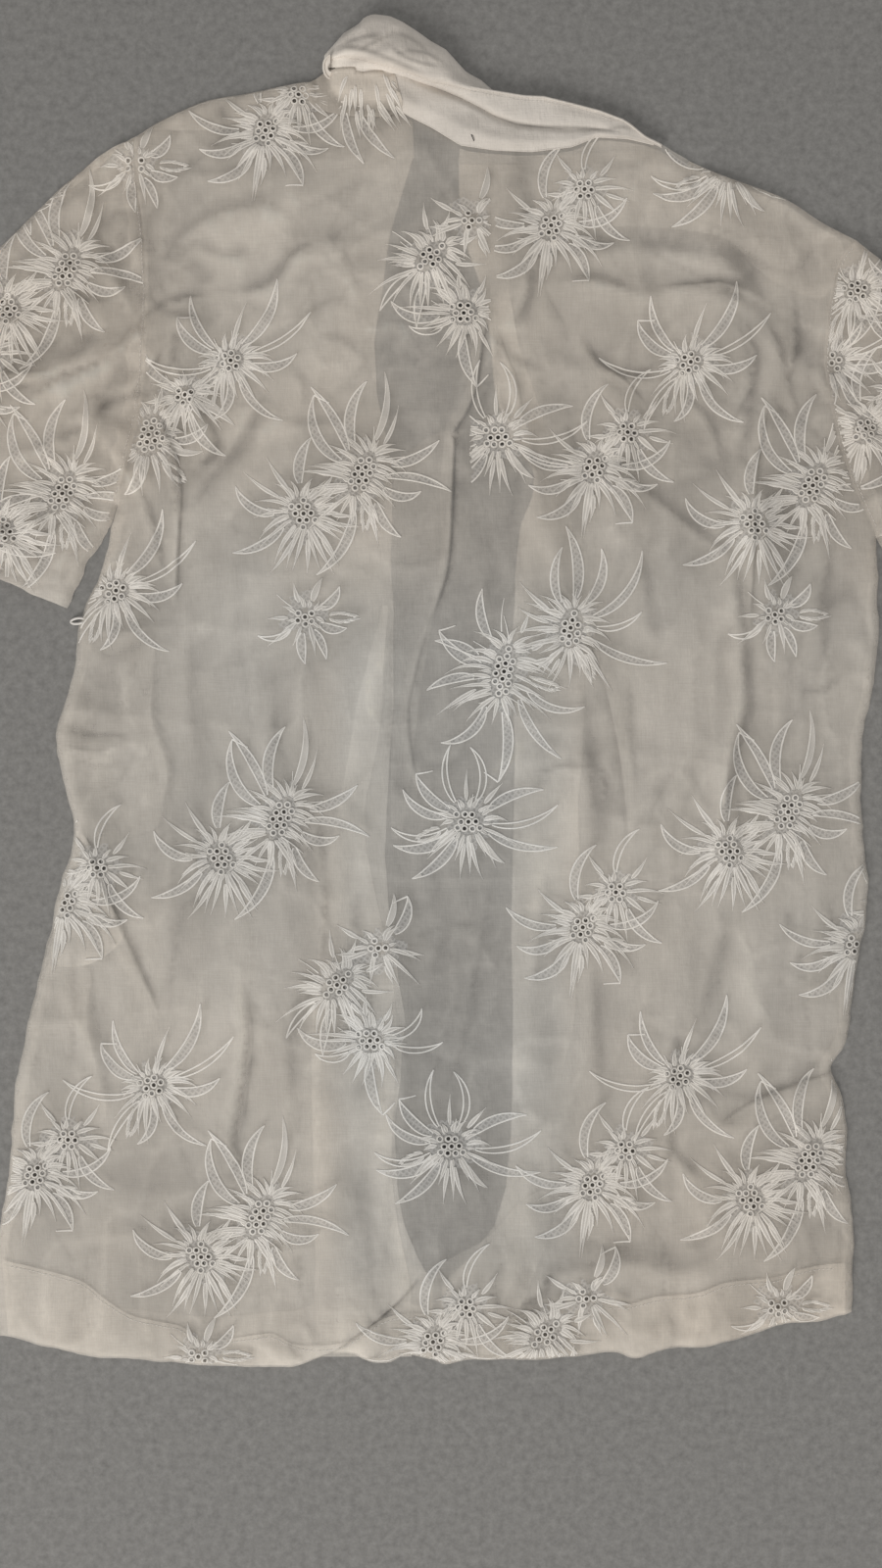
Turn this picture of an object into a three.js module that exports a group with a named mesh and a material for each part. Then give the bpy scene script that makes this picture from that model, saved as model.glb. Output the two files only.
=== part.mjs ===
// A short-sleeved embroidered batiste shirt, laid flat with its back upwards.
// Millimetres, +Z up, +Y from hem to collar, underside at z = 0.
// Cloth is a wall. The fronts lie on the surface, their facings lie on them,
// the back lies on both and settles into the gap between the two fronts.
import * as THREE from 'three';

// ---------------------------------------------------------------- sizes
const WALL = 1.0;            // cloth wall
const GAP = 0.3;             // between pieces
const HEM_WALL = 2.0;        // the back's turned-up hem, two thicknesses
const HEM_DEPTH = 45;        // height of the turned-up hem
const FRONT_TOP = WALL;                          // fronts, z 0 to 1
const FACING_LOW = FRONT_TOP + GAP;              // facings lie on the fronts
const FACING_TOP = FACING_LOW + WALL;
const BACK_LOW = FRONT_TOP + GAP;                // the back where it lies on a front
const BACK_OVER_FACING = FACING_TOP + GAP;       // and where it lies on a facing
const GAP_SAG = 2.0;         // how far the back settles between the fronts
const SIDE_ROWS = 28;        // sections from hem to underarm
const ARM_ROWS = 8;          // sections from underarm to shoulder
const BACK_COLUMNS = 28;
const SLEEVE_ROWS = 9;       // sections along a sleeve
const SLEEVE_EASE = 1.2;     // how far a sleeve's upper layer stands up
const SLEEVE_FOLD = 0.35;    // folds are this much lower past the armhole, where the tube lies flat
const COLLAR_COLUMNS = 18;
const COLLAR_WALL = 1.2;
const END_WALL = 1.6;
const COLLAR_ARCH = 3;       // how full the stand is between the neck seam and the crease
const CREASE_RISE = 2;       // height of the crease above the neck seam
const COLLAR_RISE = 5;       // height of the free edge above the crease
const COLLAR_END_RISE = 22;  // height of the bulge behind the free edge
const CENTRE_X = 5.5, CENTRE_Y = 0.505;  // middle of the outline

// ---------------------------------------------------------------- outline tables, mm
// side edges: x of the left and the right edge at each height up the side
const SIDES = [
  { y_left: -391, left: -298, y_right: -376, right: 223 },
  { y_left: -353, left: -301, y_right: -347, right: 224 },
  { y_left: -323, left: -298, y_right: -293, right: 221 },
  { y_left: -281, left: -292, y_right: -251, right: 219 },
  { y_left: -227, left: -286, y_right: -229, right: 211 },
  { y_left: -185, left: -277, y_right: -211, right: 219 },
  { y_left: -149, left: -268, y_right: -177, right: 224 },
  { y_left: -113, left: -261, y_right: -143, right: 230 },
  { y_left: -86, left: -252, y_right: -113, right: 233 },
  { y_left: -53, left: -259, y_right: -71, right: 230 },
  { y_left: -23, left: -263, y_right: -26, right: 230 },
  { y_left: 13, left: -253, y_right: 13, right: 237 },
  { y_left: 52, left: -247, y_right: 55, right: 239 },
  { y_left: 82, left: -234, y_right: 78, right: 239 },
  { y_left: 117, left: -226, y_right: 97, right: 238 },
];
// armhole seams, underarm to shoulder
const ARMHOLES = [
  { y_left: 117, left: -226, y_right: 97, right: 238 },
  { y_left: 163, left: -215, y_right: 130, right: 223 },
  { y_left: 205, left: -209, y_right: 166, right: 212 },
  { y_left: 241, left: -208, y_right: 205, right: 206 },
  { y_left: 277, left: -209, y_right: 241, right: 209 },
  { y_left: 310, left: -213, y_right: 265, right: 215 },
  { y_left: 343, left: -214, y_right: 279, right: 226 },
];
// hem edge, left to right
const HEM = [
  { x: -298, y: -391 }, { x: -247, y: -403 }, { x: -188, y: -406 }, { x: -119, y: -409 },
  { x: -92, y: -403 }, { x: -61, y: -407 }, { x: -43, y: -404 }, { x: -25, y: -409 },
  { x: 32, y: -406 }, { x: 91, y: -406 }, { x: 143, y: -394 }, { x: 184, y: -383 },
  { x: 223, y: -376 },
];
// shoulders and neck seam, left to right
const TOP = [
  { x: -214, y: 343 }, { x: -200, y: 352 }, { x: -173, y: 364 }, { x: -146, y: 369 },
  { x: -109, y: 376 }, { x: -97, y: 370 }, { x: -87, y: 364 }, { x: -73, y: 362 },
  { x: -56, y: 362 }, { x: -48, y: 357 }, { x: -34, y: 350 }, { x: -16, y: 339 },
  { x: 5, y: 336 }, { x: 27, y: 335 }, { x: 52, y: 338 }, { x: 67, y: 344 },
  { x: 86, y: 343 }, { x: 103, y: 339 }, { x: 119, y: 330 }, { x: 141, y: 320 },
  { x: 181, y: 305 }, { x: 205, y: 290 }, { x: 226, y: 279 },
];
// centre-front edges and the facings' inner edges, neck to hem
const FRONT_EDGES = [
  { y: 332, left: -44, right: -16, facing_left: -70, facing_right: 26 },
  { y: 259, left: -57, right: -34, facing_left: -78, facing_right: 14 },
  { y: 157, left: -61, right: -39, facing_left: -82, facing_right: 14 },
  { y: 91, left: -59, right: -28, facing_left: -84, facing_right: 26 },
  { y: 7, left: -51, right: 12, facing_left: -90, facing_right: 54 },
  { y: -83, left: -49, right: 16, facing_left: -96, facing_right: 60 },
  { y: -173, left: -51, right: 15, facing_left: -99, facing_right: 59 },
  { y: -263, left: -53, right: 14, facing_left: -100, facing_right: 48 },
  { y: -347, left: -57, right: 5, facing_left: -101, facing_right: 34 },
  { y: -402, left: -61, right: -4, facing_left: -103, facing_right: 28 },
];
// left and right sleeve: outer edge from the shoulder to the hem's outer corner
const SLEEVE_OUTER = [
  { left_x: -214, left_y: 343, right_x: 226, right_y: 279 },
  { left_x: -238, left_y: 331, right_x: 242, right_y: 266 },
  { left_x: -274, left_y: 298, right_x: 275, right_y: 242 },
  { left_x: -334, left_y: 236, right_x: 332, right_y: 198 },
  { left_x: -394, left_y: 156, right_x: 405, right_y: 136 },
];
// underarm edge from the armhole to the hem's inner corner
const SLEEVE_UNDER = [
  { left_x: -226, left_y: 117, right_x: 238, right_y: 97 },
  { left_x: -232, left_y: 100, right_x: 247, right_y: 79 },
  { left_x: -243, left_y: 84, right_x: 257, right_y: 60 },
  { left_x: -257, left_y: 54, right_x: 271, right_y: 36 },
];
// sleeve hem from its outer corner to its inner corner
const SLEEVE_HEM = [
  { left_x: -394, left_y: 156, right_x: 405, right_y: 136 },
  { left_x: -352, left_y: 112, right_x: 366, right_y: 92 },
  { left_x: -308, left_y: 78, right_x: 322, right_y: 58 },
  { left_x: -257, left_y: 54, right_x: 271, right_y: 36 },
];
// collar, turned up and lying flat: the crease between stand and fall, the free top edge,
// and how far it stands off the surface
const COLLAR = [
  { x: -98, crease_y: 387, top_y: 390, rise: 1.0 },
  { x: -79, crease_y: 388, top_y: 391.5, rise: 1.0 },
  { x: -65, crease_y: 384, top_y: 388, rise: 1.0 },
  { x: -48, crease_y: 378.5, top_y: 383, rise: 1.0 },
  { x: -34, crease_y: 373, top_y: 378, rise: 0.95 },
  { x: -13, crease_y: 364, top_y: 373, rise: 0.9 },
  { x: 5, crease_y: 355, top_y: 370, rise: 0.8 },
  { x: 27, crease_y: 349, top_y: 367, rise: 0.7 },
  { x: 52, crease_y: 348.5, top_y: 362, rise: 0.6 },
  { x: 67, crease_y: 349.5, top_y: 358, rise: 0.5 },
  { x: 86, crease_y: 347, top_y: 351.5, rise: 0.4 },
  { x: 103, crease_y: 342, top_y: 345, rise: 0.3 },
  { x: 119, crease_y: 332.5, top_y: 335, rise: 0.2 },
];
// the far half of the collar, bulging out behind the top edge: its far edge and fullness
const COLLAR_END = [
  { x: -97, far_y: 394, full: 0.35 },
  { x: -88, far_y: 402, full: 0.7 },
  { x: -79, far_y: 407, full: 0.9 },
  { x: -72, far_y: 410, full: 1.0 },
  { x: -59, far_y: 410, full: 1.0 },
  { x: -43, far_y: 402, full: 0.85 },
  { x: -25, far_y: 391.5, full: 0.6 },
  { x: -13, far_y: 380, full: 0.35 },
  { x: 3, far_y: 373.5, full: 0.2 },
];
// largest folds: soft ridges, each from a start to an end with its width and height
const FOLDS = [
  { x0: 3, y0: 238, x1: -20, y1: 156, width: 15, height: 5.0 },     // pleat, left edge
  { x0: -20, y0: 156, x1: -30, y1: 59, width: 16, height: 3.5 },
  { x0: 3, y0: 238, x1: 26, y1: 120, width: 15, height: 4.5 },      // pleat, right edge
  { x0: 26, y0: 120, x1: 78, y1: -90, width: 17, height: 3.5 },
  { x0: -190, y0: 277, x1: -75, y1: 306, width: 18, height: 4.5 },  // upper left, arching
  { x0: -136, y0: 252, x1: -94, y1: 277, width: 16, height: 3.5 },
  { x0: -190, y0: 216, x1: -174, y1: 170, width: 16, height: 8.0 }, // beside the left armhole
  { x0: -174, y0: 170, x1: -186, y1: 66, width: 17, height: 7.0 },
  { x0: -300, y0: 193, x1: -232, y1: 208, width: 17, height: 6.0 }, // across the left sleeve
  { x0: -232, y0: 208, x1: -160, y1: 235, width: 16, height: 4.0 },
  { x0: -262, y0: 170, x1: -200, y1: 126, width: 16, height: 5.0 },
  { x0: 29, y0: 252, x1: 146, y1: 240, width: 15, height: 3.5 },    // upper right
  { x0: 146, y0: 240, x1: 176, y1: 204, width: 15, height: 3.5 },
  { x0: 178, y0: 240, x1: 164, y1: 144, width: 17, height: 6.5 },   // down the right side
  { x0: 164, y0: 144, x1: 161, y1: 42, width: 17, height: 7.0 },
  { x0: 161, y0: 42, x1: 149, y1: -114, width: 17, height: 5.5 },
  { x0: -67, y0: 43, x1: -88, y1: -71, width: 15, height: 4.0 },    // left of the gap
  { x0: -148, y0: -173, x1: -162, y1: -278, width: 17, height: 3.5 },
  { x0: -92, y0: -403, x1: -42, y1: -352, width: 13, height: 4.5 }, // pleat at the hem
  { x0: 38, y0: -364, x1: 122, y1: -346, width: 15, height: 3.5 },
  { x0: 122, y0: -282, x1: 209, y1: -228, width: 15, height: 5.0 }, // to the notch in the right side
  { x0: -258, y0: -26, x1: -214, y1: -32, width: 13, height: 4.5 }, // side puckers
  { x0: -255, y0: -100, x1: -226, y1: -140, width: 14, height: 4.5 },
  { x0: 196, y0: 60, x1: 232, y1: 36, width: 14, height: 5.0 },
  { x0: 330, y0: 176, x1: 262, y1: 128, width: 18, height: 4.5 },   // right sleeve
  { x0: 300, y0: 120, x1: 246, y1: 150, width: 16, height: 4.0 },
];

// ---------------------------------------------------------------- helpers
const vec = (x, y) => new THREE.Vector2(x, y);
const curve = (rows, kx, ky) => new THREE.SplineCurve(rows.map((r) => vec(r[kx], r[ky])));
const line = (rows, kx, ky) => {
  const path = new THREE.CurvePath();
  for (let i = 1; i < rows.length; i += 1) {
    path.add(new THREE.LineCurve(vec(rows[i - 1][kx], rows[i - 1][ky]), vec(rows[i][kx], rows[i][ky])));
  }
  return path;
};
const sample = (c, n, from = 0, to = 1) => {
  const out = [];
  for (let i = 0; i <= n; i += 1) out.push(c.getPointAt(from + (to - from) * (i / n)));
  return out;
};
const smooth = (a, b, t) => {
  const k = Math.min(1, Math.max(0, (t - a) / (b - a)));
  return k * k * (3 - 2 * k);
};
const column = (rows, y, key) => {           // linear look-up in a table sorted by falling y
  if (y >= rows[0].y) return rows[0][key];
  for (let i = 1; i < rows.length; i += 1) {
    if (y >= rows[i].y) {
      const t = (rows[i - 1].y - y) / (rows[i - 1].y - rows[i].y);
      return rows[i - 1][key] + (rows[i][key] - rows[i - 1][key]) * t;
    }
  }
  return rows[rows.length - 1][key];
};

// the neck seam and the collar as columns that run with falling -x
const SEAM = TOP.map((r) => ({ y: -r.x, seam: r.y }));
const BAND = COLLAR.map((r) => ({ y: -r.x, crease: r.crease_y, top: r.top_y, rise: r.rise }));
const FAR = COLLAR_END.map((r) => ({ y: -r.x, far: r.far_y, full: r.full }));

// height of a fold at a point: a rounded ridge that dies away at both ends
function foldHeight(x, y) {
  let h = 0;
  for (const f of FOLDS) {
    const dx = f.x1 - f.x0, dy = f.y1 - f.y0, len2 = dx * dx + dy * dy;
    const t = Math.min(1, Math.max(0, ((x - f.x0) * dx + (y - f.y0) * dy) / len2));
    const d2 = (x - f.x0 - t * dx) ** 2 + (y - f.y0 - t * dy) ** 2;
    h = Math.max(h, f.height * Math.exp(-d2 / (f.width * f.width)));
  }
  return h;
}

// underside of the back at a point: on a front, on a facing, or settled into the gap
function backLow(x, y) {
  const l = column(FRONT_EDGES, y, 'left'), r = column(FRONT_EDGES, y, 'right');
  const fl = column(FRONT_EDGES, y, 'facing_left'), fr = column(FRONT_EDGES, y, 'facing_right');
  const over = smooth(fl - 60, fl - 30, x) * (1 - smooth(fr + 30, fr + 60, x));
  const mid = (l + r) / 2, half = (r - l) / 2;
  const sag = GAP_SAG * smooth(17, 31, half - Math.abs(x - mid));
  return BACK_LOW + (BACK_OVER_FACING - BACK_LOW) * over - sag;
}

// how much of the folds a point takes: none at the neck seam, little past the armholes
const seamY = (x) => column(SEAM, -x, 'seam');
const neckEase = (x, y) => (x > -112 && x < 130 ? smooth(2, 30, seamY(x) - y) : 1);
const armEase = (x, y) => 1 - (1 - SLEEVE_FOLD) * smooth(185, 208, Math.abs(x)) * smooth(30, 100, y);
const backHeight = (x, y) => backLow(x, y) + foldHeight(x, y) * neckEase(x, y) * armEase(x, y);

// a closed solid from three grids-worth of faces
function solidFrom(points, faces) {
  const g = new THREE.BufferGeometry();
  g.setAttribute('position', new THREE.Float32BufferAttribute(points.flat(), 3));
  g.setIndex(faces.flat());
  return g;
}

// A sheet: plan[i][j] rows by columns, low(x, y, i, j) its underside, wall(i, j) its thickness.
function sheet(plan, low, wall) {
  const R = plan.length, C = plan[0].length, pts = [], faces = [];
  for (const side of [0, 1]) {
    for (let i = 0; i < R; i += 1) {
      for (let j = 0; j < C; j += 1) {
        const p = plan[i][j];
        pts.push([p.x, p.y, low(p.x, p.y, i, j) + side * wall(i, j)]);
      }
    }
  }
  const at = (side, i, j) => side * R * C + i * C + j;
  const quad = (a, b, c, d) => { faces.push([a, b, c], [a, c, d]); };
  for (let i = 0; i + 1 < R; i += 1) {
    for (let j = 0; j + 1 < C; j += 1) {
      quad(at(1, i, j), at(1, i, j + 1), at(1, i + 1, j + 1), at(1, i + 1, j));
      quad(at(0, i, j), at(0, i + 1, j), at(0, i + 1, j + 1), at(0, i, j + 1));
    }
  }
  for (let j = 0; j + 1 < C; j += 1) {
    quad(at(0, 0, j), at(0, 0, j + 1), at(1, 0, j + 1), at(1, 0, j));
    quad(at(1, R - 1, j), at(1, R - 1, j + 1), at(0, R - 1, j + 1), at(0, R - 1, j));
  }
  for (let i = 0; i + 1 < R; i += 1) {
    quad(at(1, i, 0), at(1, i + 1, 0), at(0, i + 1, 0), at(0, i, 0));
    quad(at(0, i, C - 1), at(0, i + 1, C - 1), at(1, i + 1, C - 1), at(1, i, C - 1));
  }
  return solidFrom(pts, faces);
}

// plan grid between four edges that share corners: bottom and top run left to right,
// left and right run bottom to top
function coons(bottom, top, left, right) {
  const R = left.length, C = bottom.length, grid = [];
  for (let i = 0; i < R; i += 1) {
    const v = i / (R - 1), row = [];
    for (let j = 0; j < C; j += 1) {
      const u = j / (C - 1);
      const mix = (k) => (1 - v) * bottom[j][k] + v * top[j][k] + (1 - u) * left[i][k] + u * right[i][k]
        - ((1 - u) * (1 - v) * bottom[0][k] + u * (1 - v) * bottom[C - 1][k]
        + (1 - u) * v * top[0][k] + u * v * top[C - 1][k]);
      row.push(vec(mix('x'), mix('y')));
    }
    grid.push(row);
  }
  return grid;
}

// A flattened tube: plan[i][j] from the armhole (i = 0) to the sleeve hem, and from the
// outer edge (j = 0) to the underarm edge. The lower layer lies on the surface.
function tube(plan, topAt, flip) {
  const R = plan.length, C = plan[0].length, pts = [], faces = [];
  const ringSize = 2 * C;
  for (const inner of [0, 1]) {
    for (let i = 0; i < R; i += 1) {
      const a = plan[i][0], b = plan[i][C - 1];
      const along = b.clone().sub(a).normalize();
      const put = (j, top) => {
        const p = plan[i][j].clone();
        if (inner && j === 0) p.addScaledVector(along, WALL);
        if (inner && j === C - 1) p.addScaledVector(along, -WALL);
        const t = topAt(plan[i][j].x, plan[i][j].y, i, j);
        const z = top ? t - inner * WALL : inner * WALL;
        pts.push([p.x, p.y, z]);
      };
      for (let j = 0; j < C; j += 1) put(j, 0);
      for (let j = C - 1; j >= 0; j -= 1) put(j, 1);
    }
  }
  const at = (inner, i, k) => inner * R * ringSize + i * ringSize + ((k + ringSize) % ringSize);
  const quad = (a, b, c, d) => {
    if (flip) faces.push([a, c, b], [a, d, c]); else faces.push([a, b, c], [a, c, d]);
  };
  for (let i = 0; i + 1 < R; i += 1) {
    for (let k = 0; k < ringSize; k += 1) {
      quad(at(0, i, k), at(0, i, k + 1), at(0, i + 1, k + 1), at(0, i + 1, k));
      quad(at(1, i, k), at(1, i + 1, k), at(1, i + 1, k + 1), at(1, i, k + 1));
    }
  }
  for (let k = 0; k < ringSize; k += 1) {
    quad(at(0, 0, k), at(1, 0, k), at(1, 0, k + 1), at(0, 0, k + 1));
    quad(at(0, R - 1, k), at(0, R - 1, k + 1), at(1, R - 1, k + 1), at(1, R - 1, k));
  }
  return solidFrom(pts, faces);
}

// a flat piece: its outline, its underside and its wall
function flat(outline, low, wall) {
  const g = new THREE.ExtrudeGeometry(new THREE.Shape(outline), { depth: wall, bevelEnabled: false, curveSegments: 1 });
  g.translate(0, 0, low);
  return g;
}

// ---------------------------------------------------------------- shared edges
// sections up each side: two at the hem's turn, then even ones to the underarm
const sideEdge = (kx, ky) => {
  const c = curve(SIDES, kx, ky), len = c.getLength();
  const marks = [0, HEM_DEPTH / 2, HEM_DEPTH - 1, HEM_DEPTH + 1].map((m) => m / len);
  const rest = SIDE_ROWS - marks.length + 1, from = marks[marks.length - 1];
  for (let i = 1; i <= rest; i += 1) marks.push(from + (1 - from) * (i / rest));
  return marks.map((t) => c.getPointAt(t));
};
const armEdge = (kx, ky) => sample(curve(ARMHOLES, kx, ky), ARM_ROWS);
const leftSide = sideEdge('left', 'y_left'), rightSide = sideEdge('right', 'y_right');
const leftArm = armEdge('left', 'y_left'), rightArm = armEdge('right', 'y_right');
const leftEdge = leftSide.concat(leftArm.slice(1));
const rightEdge = rightSide.concat(rightArm.slice(1));
const hemEdge = sample(curve(HEM, 'x', 'y'), BACK_COLUMNS);
const topEdge = sample(line(TOP, 'x', 'y'), BACK_COLUMNS);

// ---------------------------------------------------------------- back
const backPlan = coons(hemEdge, topEdge, leftEdge, rightEdge);
const back = sheet(backPlan, backHeight, (i) => (i <= 2 ? HEM_WALL : WALL));

// ---------------------------------------------------------------- fronts
// each front shares its side and armhole with the back, and ends at the centre front
const between = (points, from, to) => points.filter((p) => p.x > from + 2 && p.x < to - 2);
const innerLeft = FRONT_EDGES.map((r) => vec(r.left, r.y));
const innerRight = FRONT_EDGES.map((r) => vec(r.right, r.y));
const frontLeft = flat([
  ...innerLeft,
  ...between(hemEdge, -300, innerLeft[innerLeft.length - 1].x).reverse().slice(0, -1),
  ...leftEdge,
  ...between(topEdge, -214, innerLeft[0].x).map((p) => vec(p.x, p.y - (p.x > -104 ? 4 : 0))),
], 0, WALL);
const frontRight = flat([
  ...innerRight.slice().reverse(),
  ...between(topEdge, innerRight[0].x, 226).map((p) => vec(p.x, p.y - (p.x < 122 ? 4 : 0))),
  ...rightEdge.slice().reverse(),
  ...between(hemEdge, innerRight[innerRight.length - 1].x, 222).reverse(),
], 0, WALL);

// ---------------------------------------------------------------- facings
const facing = (edge, inner) => flat([
  ...FRONT_EDGES.map((r) => vec(r[edge], r.y - (r.y > 330 ? 3 : 0))),
  ...FRONT_EDGES.slice().reverse().map((r) => vec(r[inner], r.y - (r.y > 330 ? 3 : 0))),
], FACING_LOW, WALL);
const facingLeft = facing('left', 'facing_left');
const facingRight = facing('right', 'facing_right');

// ---------------------------------------------------------------- sleeves
// the sleeve's armhole edge is the body's, one gap further out
function sleeve(side, arm, out) {
  const kx = `${side}_x`, ky = `${side}_y`;
  const cap = arm.slice().reverse().map((p) => vec(p.x + out * GAP * 1.5, p.y));
  const outer = sample(curve(SLEEVE_OUTER, kx, ky), SLEEVE_ROWS);
  const under = sample(curve(SLEEVE_UNDER, kx, ky), SLEEVE_ROWS);
  const hem = sample(curve(SLEEVE_HEM, kx, ky), ARM_ROWS);
  outer[0] = cap[0]; under[0] = cap[cap.length - 1];
  const plan = coons(cap, hem, outer, under);
  const top = (x, y, i, j) => backHeight(x, y) + WALL
    + SLEEVE_EASE * Math.sin((Math.PI * i) / SLEEVE_ROWS / 1.25) * Math.sin((Math.PI * j) / ARM_ROWS);
  return tube(plan, top, out > 0);
}
const sleeveLeft = sleeve('left', leftArm, -1);
const sleeveRight = sleeve('right', rightArm, 1);

// ---------------------------------------------------------------- collar
// stand and fall share the back's points along the neck seam
const neck = topEdge.filter((p) => p.x > -99 && p.x < 121);
const ruled = (rows, from, to, points) => {
  const plan = [];
  for (let i = 0; i <= rows; i += 1) {
    plan.push(points.map((p) => vec(p.x, from(p) + (to(p) - from(p)) * (i / rows))));
  }
  return plan;
};
const riseAt = (x) => column(BAND, -x, 'rise');
const STAND_ROWS = 4, FALL_ROWS = 3, END_ROWS = 8;
const collarStand = sheet(
  ruled(STAND_ROWS, (p) => p.y + GAP, (p) => column(BAND, -p.x, 'crease') - GAP / 2, neck),
  (x, y, i) => BACK_OVER_FACING + riseAt(x)
    * (COLLAR_ARCH * Math.sin((Math.PI * i) / STAND_ROWS) + CREASE_RISE * (i / STAND_ROWS)),
  () => COLLAR_WALL,
);
const collarFall = sheet(
  ruled(FALL_ROWS, (p) => column(BAND, -p.x, 'crease') + GAP / 2, (p) => column(BAND, -p.x, 'top'), neck),
  (x, y, i) => BACK_OVER_FACING + riseAt(x) * (CREASE_RISE + COLLAR_RISE * (i / FALL_ROWS)),
  () => COLLAR_WALL,
);
const endLine = sample(new THREE.LineCurve(vec(COLLAR_END[0].x, 0), vec(COLLAR_END[COLLAR_END.length - 1].x, 0)), COLLAR_COLUMNS);
const collarEnd = sheet(
  ruled(END_ROWS, (p) => column(BAND, -p.x, 'top') + 2 * GAP, (p) => column(FAR, -p.x, 'far'), endLine),
  (x, y, i) => {
    const v = i / END_ROWS, full = column(FAR, -x, 'full');
    return full * ((1 - v) * COLLAR_RISE
      + COLLAR_END_RISE * Math.sin(Math.PI * Math.min(1, 0.05 + 0.95 * v)) ** 0.75);
  },
  () => END_WALL,
);

// ---------------------------------------------------------------- assembly
const cloth = (hex) => new THREE.MeshStandardMaterial({ color: hex, roughness: 0.9, metalness: 0 });
const shirt = new THREE.Group();
shirt.name = 'embroidered_shirt';
for (const [name, geometry, hex] of [
  ['back', back, 0xe9e6df],
  ['front_left', frontLeft, 0xe4e0d8],
  ['front_right', frontRight, 0xe4e0d8],
  ['facing_left', facingLeft, 0xeeebe4],
  ['facing_right', facingRight, 0xeeebe4],
  ['sleeve_left', sleeveLeft, 0xe6e2da],
  ['sleeve_right', sleeveRight, 0xe6e2da],
  ['collar_stand', collarStand, 0xf1eee7],
  ['collar_fall', collarFall, 0xf1eee7],
  ['collar_end_left', collarEnd, 0xf1eee7],
]) {
  const mesh = new THREE.Mesh(geometry, cloth(hex));
  mesh.name = name;
  mesh.position.set(-CENTRE_X, -CENTRE_Y, 0);
  shirt.add(mesh);
}

export default shirt;
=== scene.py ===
"""Looks of the embroidered batiste shirt, laid flat with its back upwards.

Every length below is in millimetres until place() turns it into metres. mm(px, py) gives a
place on the shirt from a place in the frame of the camera, 0.6 mm a pixel.
"""
import math

import bpy
import numpy as np
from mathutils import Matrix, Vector
from mathutils.bvhtree import BVHTree
from mathutils.geometry import delaunay_2d_cdt


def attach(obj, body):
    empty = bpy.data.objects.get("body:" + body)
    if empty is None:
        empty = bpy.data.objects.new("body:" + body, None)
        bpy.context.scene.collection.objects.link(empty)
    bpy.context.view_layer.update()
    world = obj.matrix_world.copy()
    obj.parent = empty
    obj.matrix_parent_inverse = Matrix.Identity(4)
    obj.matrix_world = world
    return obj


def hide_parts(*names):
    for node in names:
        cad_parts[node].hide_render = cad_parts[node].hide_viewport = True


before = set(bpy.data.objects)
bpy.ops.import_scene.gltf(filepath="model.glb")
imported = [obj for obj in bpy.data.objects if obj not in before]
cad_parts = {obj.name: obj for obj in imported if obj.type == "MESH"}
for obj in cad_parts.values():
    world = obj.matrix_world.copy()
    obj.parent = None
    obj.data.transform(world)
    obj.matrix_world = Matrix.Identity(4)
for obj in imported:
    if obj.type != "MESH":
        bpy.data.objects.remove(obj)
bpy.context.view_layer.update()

# ------------------------------------------------------------------ sizes, mm
CENTRE_X, CENTRE_Y = 5.5, 0.505      # middle of the outline, as in the solids
BACK_STEP = 3.1                      # mesh size of the back
FRONT_STEP = 7.0
EYELET = 1.28                        # radius of an eyelet's hole
RING = 2.45                          # radius of its stitched ring
EYELET_PITCH = 4.65
ROLL = 6.5                           # how far in from an edge the back turns down
ALPHA_BACK, ALPHA_FRONT, ALPHA_FACING = 0.36, 0.50, 0.48
ALPHA_HEM, ALPHA_COLLAR, ALPHA_NET = 0.74, 0.90, 0.36


def mm(px, py):
    return 0.6 * (px - 497) - CENTRE_X, 0.6 * (711 - py) - CENTRE_Y


def pts(*pairs):
    return np.array([mm(*p) for p in pairs], float)


def raw(*pairs):
    return np.array([(x - CENTRE_X, y - CENTRE_Y) for x, y in pairs], float)


# ------------------------------------------------------------------ small maths
def smooth(a, b, t):
    k = np.clip((t - a) / (b - a), 0.0, 1.0)
    return k * k * (3 - 2 * k)


def spline(p, step, closed=False):
    """Catmull-Rom curve through p, with a point about every step."""
    p = np.asarray(p, float)
    q = np.vstack([2 * p[0] - p[1], p, 2 * p[-1] - p[-2]])
    out = []
    for i in range(1, len(q) - 2):
        n = max(1, int(round(np.linalg.norm(q[i + 1] - q[i]) / step)))
        t = (np.arange(n) / n)[:, None]
        a, b, c, d = q[i - 1], q[i], q[i + 1], q[i + 2]
        out.append(0.5 * ((2 * b) + (c - a) * t + (2 * a - 5 * b + 4 * c - d) * t ** 2 + (3 * b - a - 3 * c + d) * t ** 3))
    out.append(p[-1:])
    return np.vstack(out)


LATTICE = {}


def vnoise(x, y, seed):
    """Smooth value noise, -1 to 1, one cell per unit."""
    if seed not in LATTICE:
        LATTICE[seed] = np.random.default_rng(seed).random((256, 256))
    L = LATTICE[seed]
    xi, yi = np.floor(x).astype(int), np.floor(y).astype(int)
    u, v = x - xi, y - yi
    u, v = u * u * u * (u * (u * 6 - 15) + 10), v * v * v * (v * (v * 6 - 15) + 10)
    a, b = L[xi % 256, yi % 256], L[(xi + 1) % 256, yi % 256]
    c, d = L[xi % 256, (yi + 1) % 256], L[(xi + 1) % 256, (yi + 1) % 256]
    return 2 * ((a * (1 - u) + b * u) * (1 - v) + (c * (1 - u) + d * u) * v) - 1


def fbm(x, y, seed, octaves=3):
    s, k = 0.0, 1.0
    for i in range(octaves):
        s = s + k * vnoise(x * 2 ** i, y * 2 ** i, seed + i)
        k *= 0.5
    return s / 1.75


def ridged(x, y, seed, octaves=2):
    s, k = 0.0, 1.0
    for i in range(octaves):
        s = s + k * (1 - np.abs(vnoise(x * 2 ** i, y * 2 ** i, seed + i))) ** 3
        k *= 0.5
    return s / 1.5


def segments(line):
    return line[:-1], line[1:]


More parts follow.
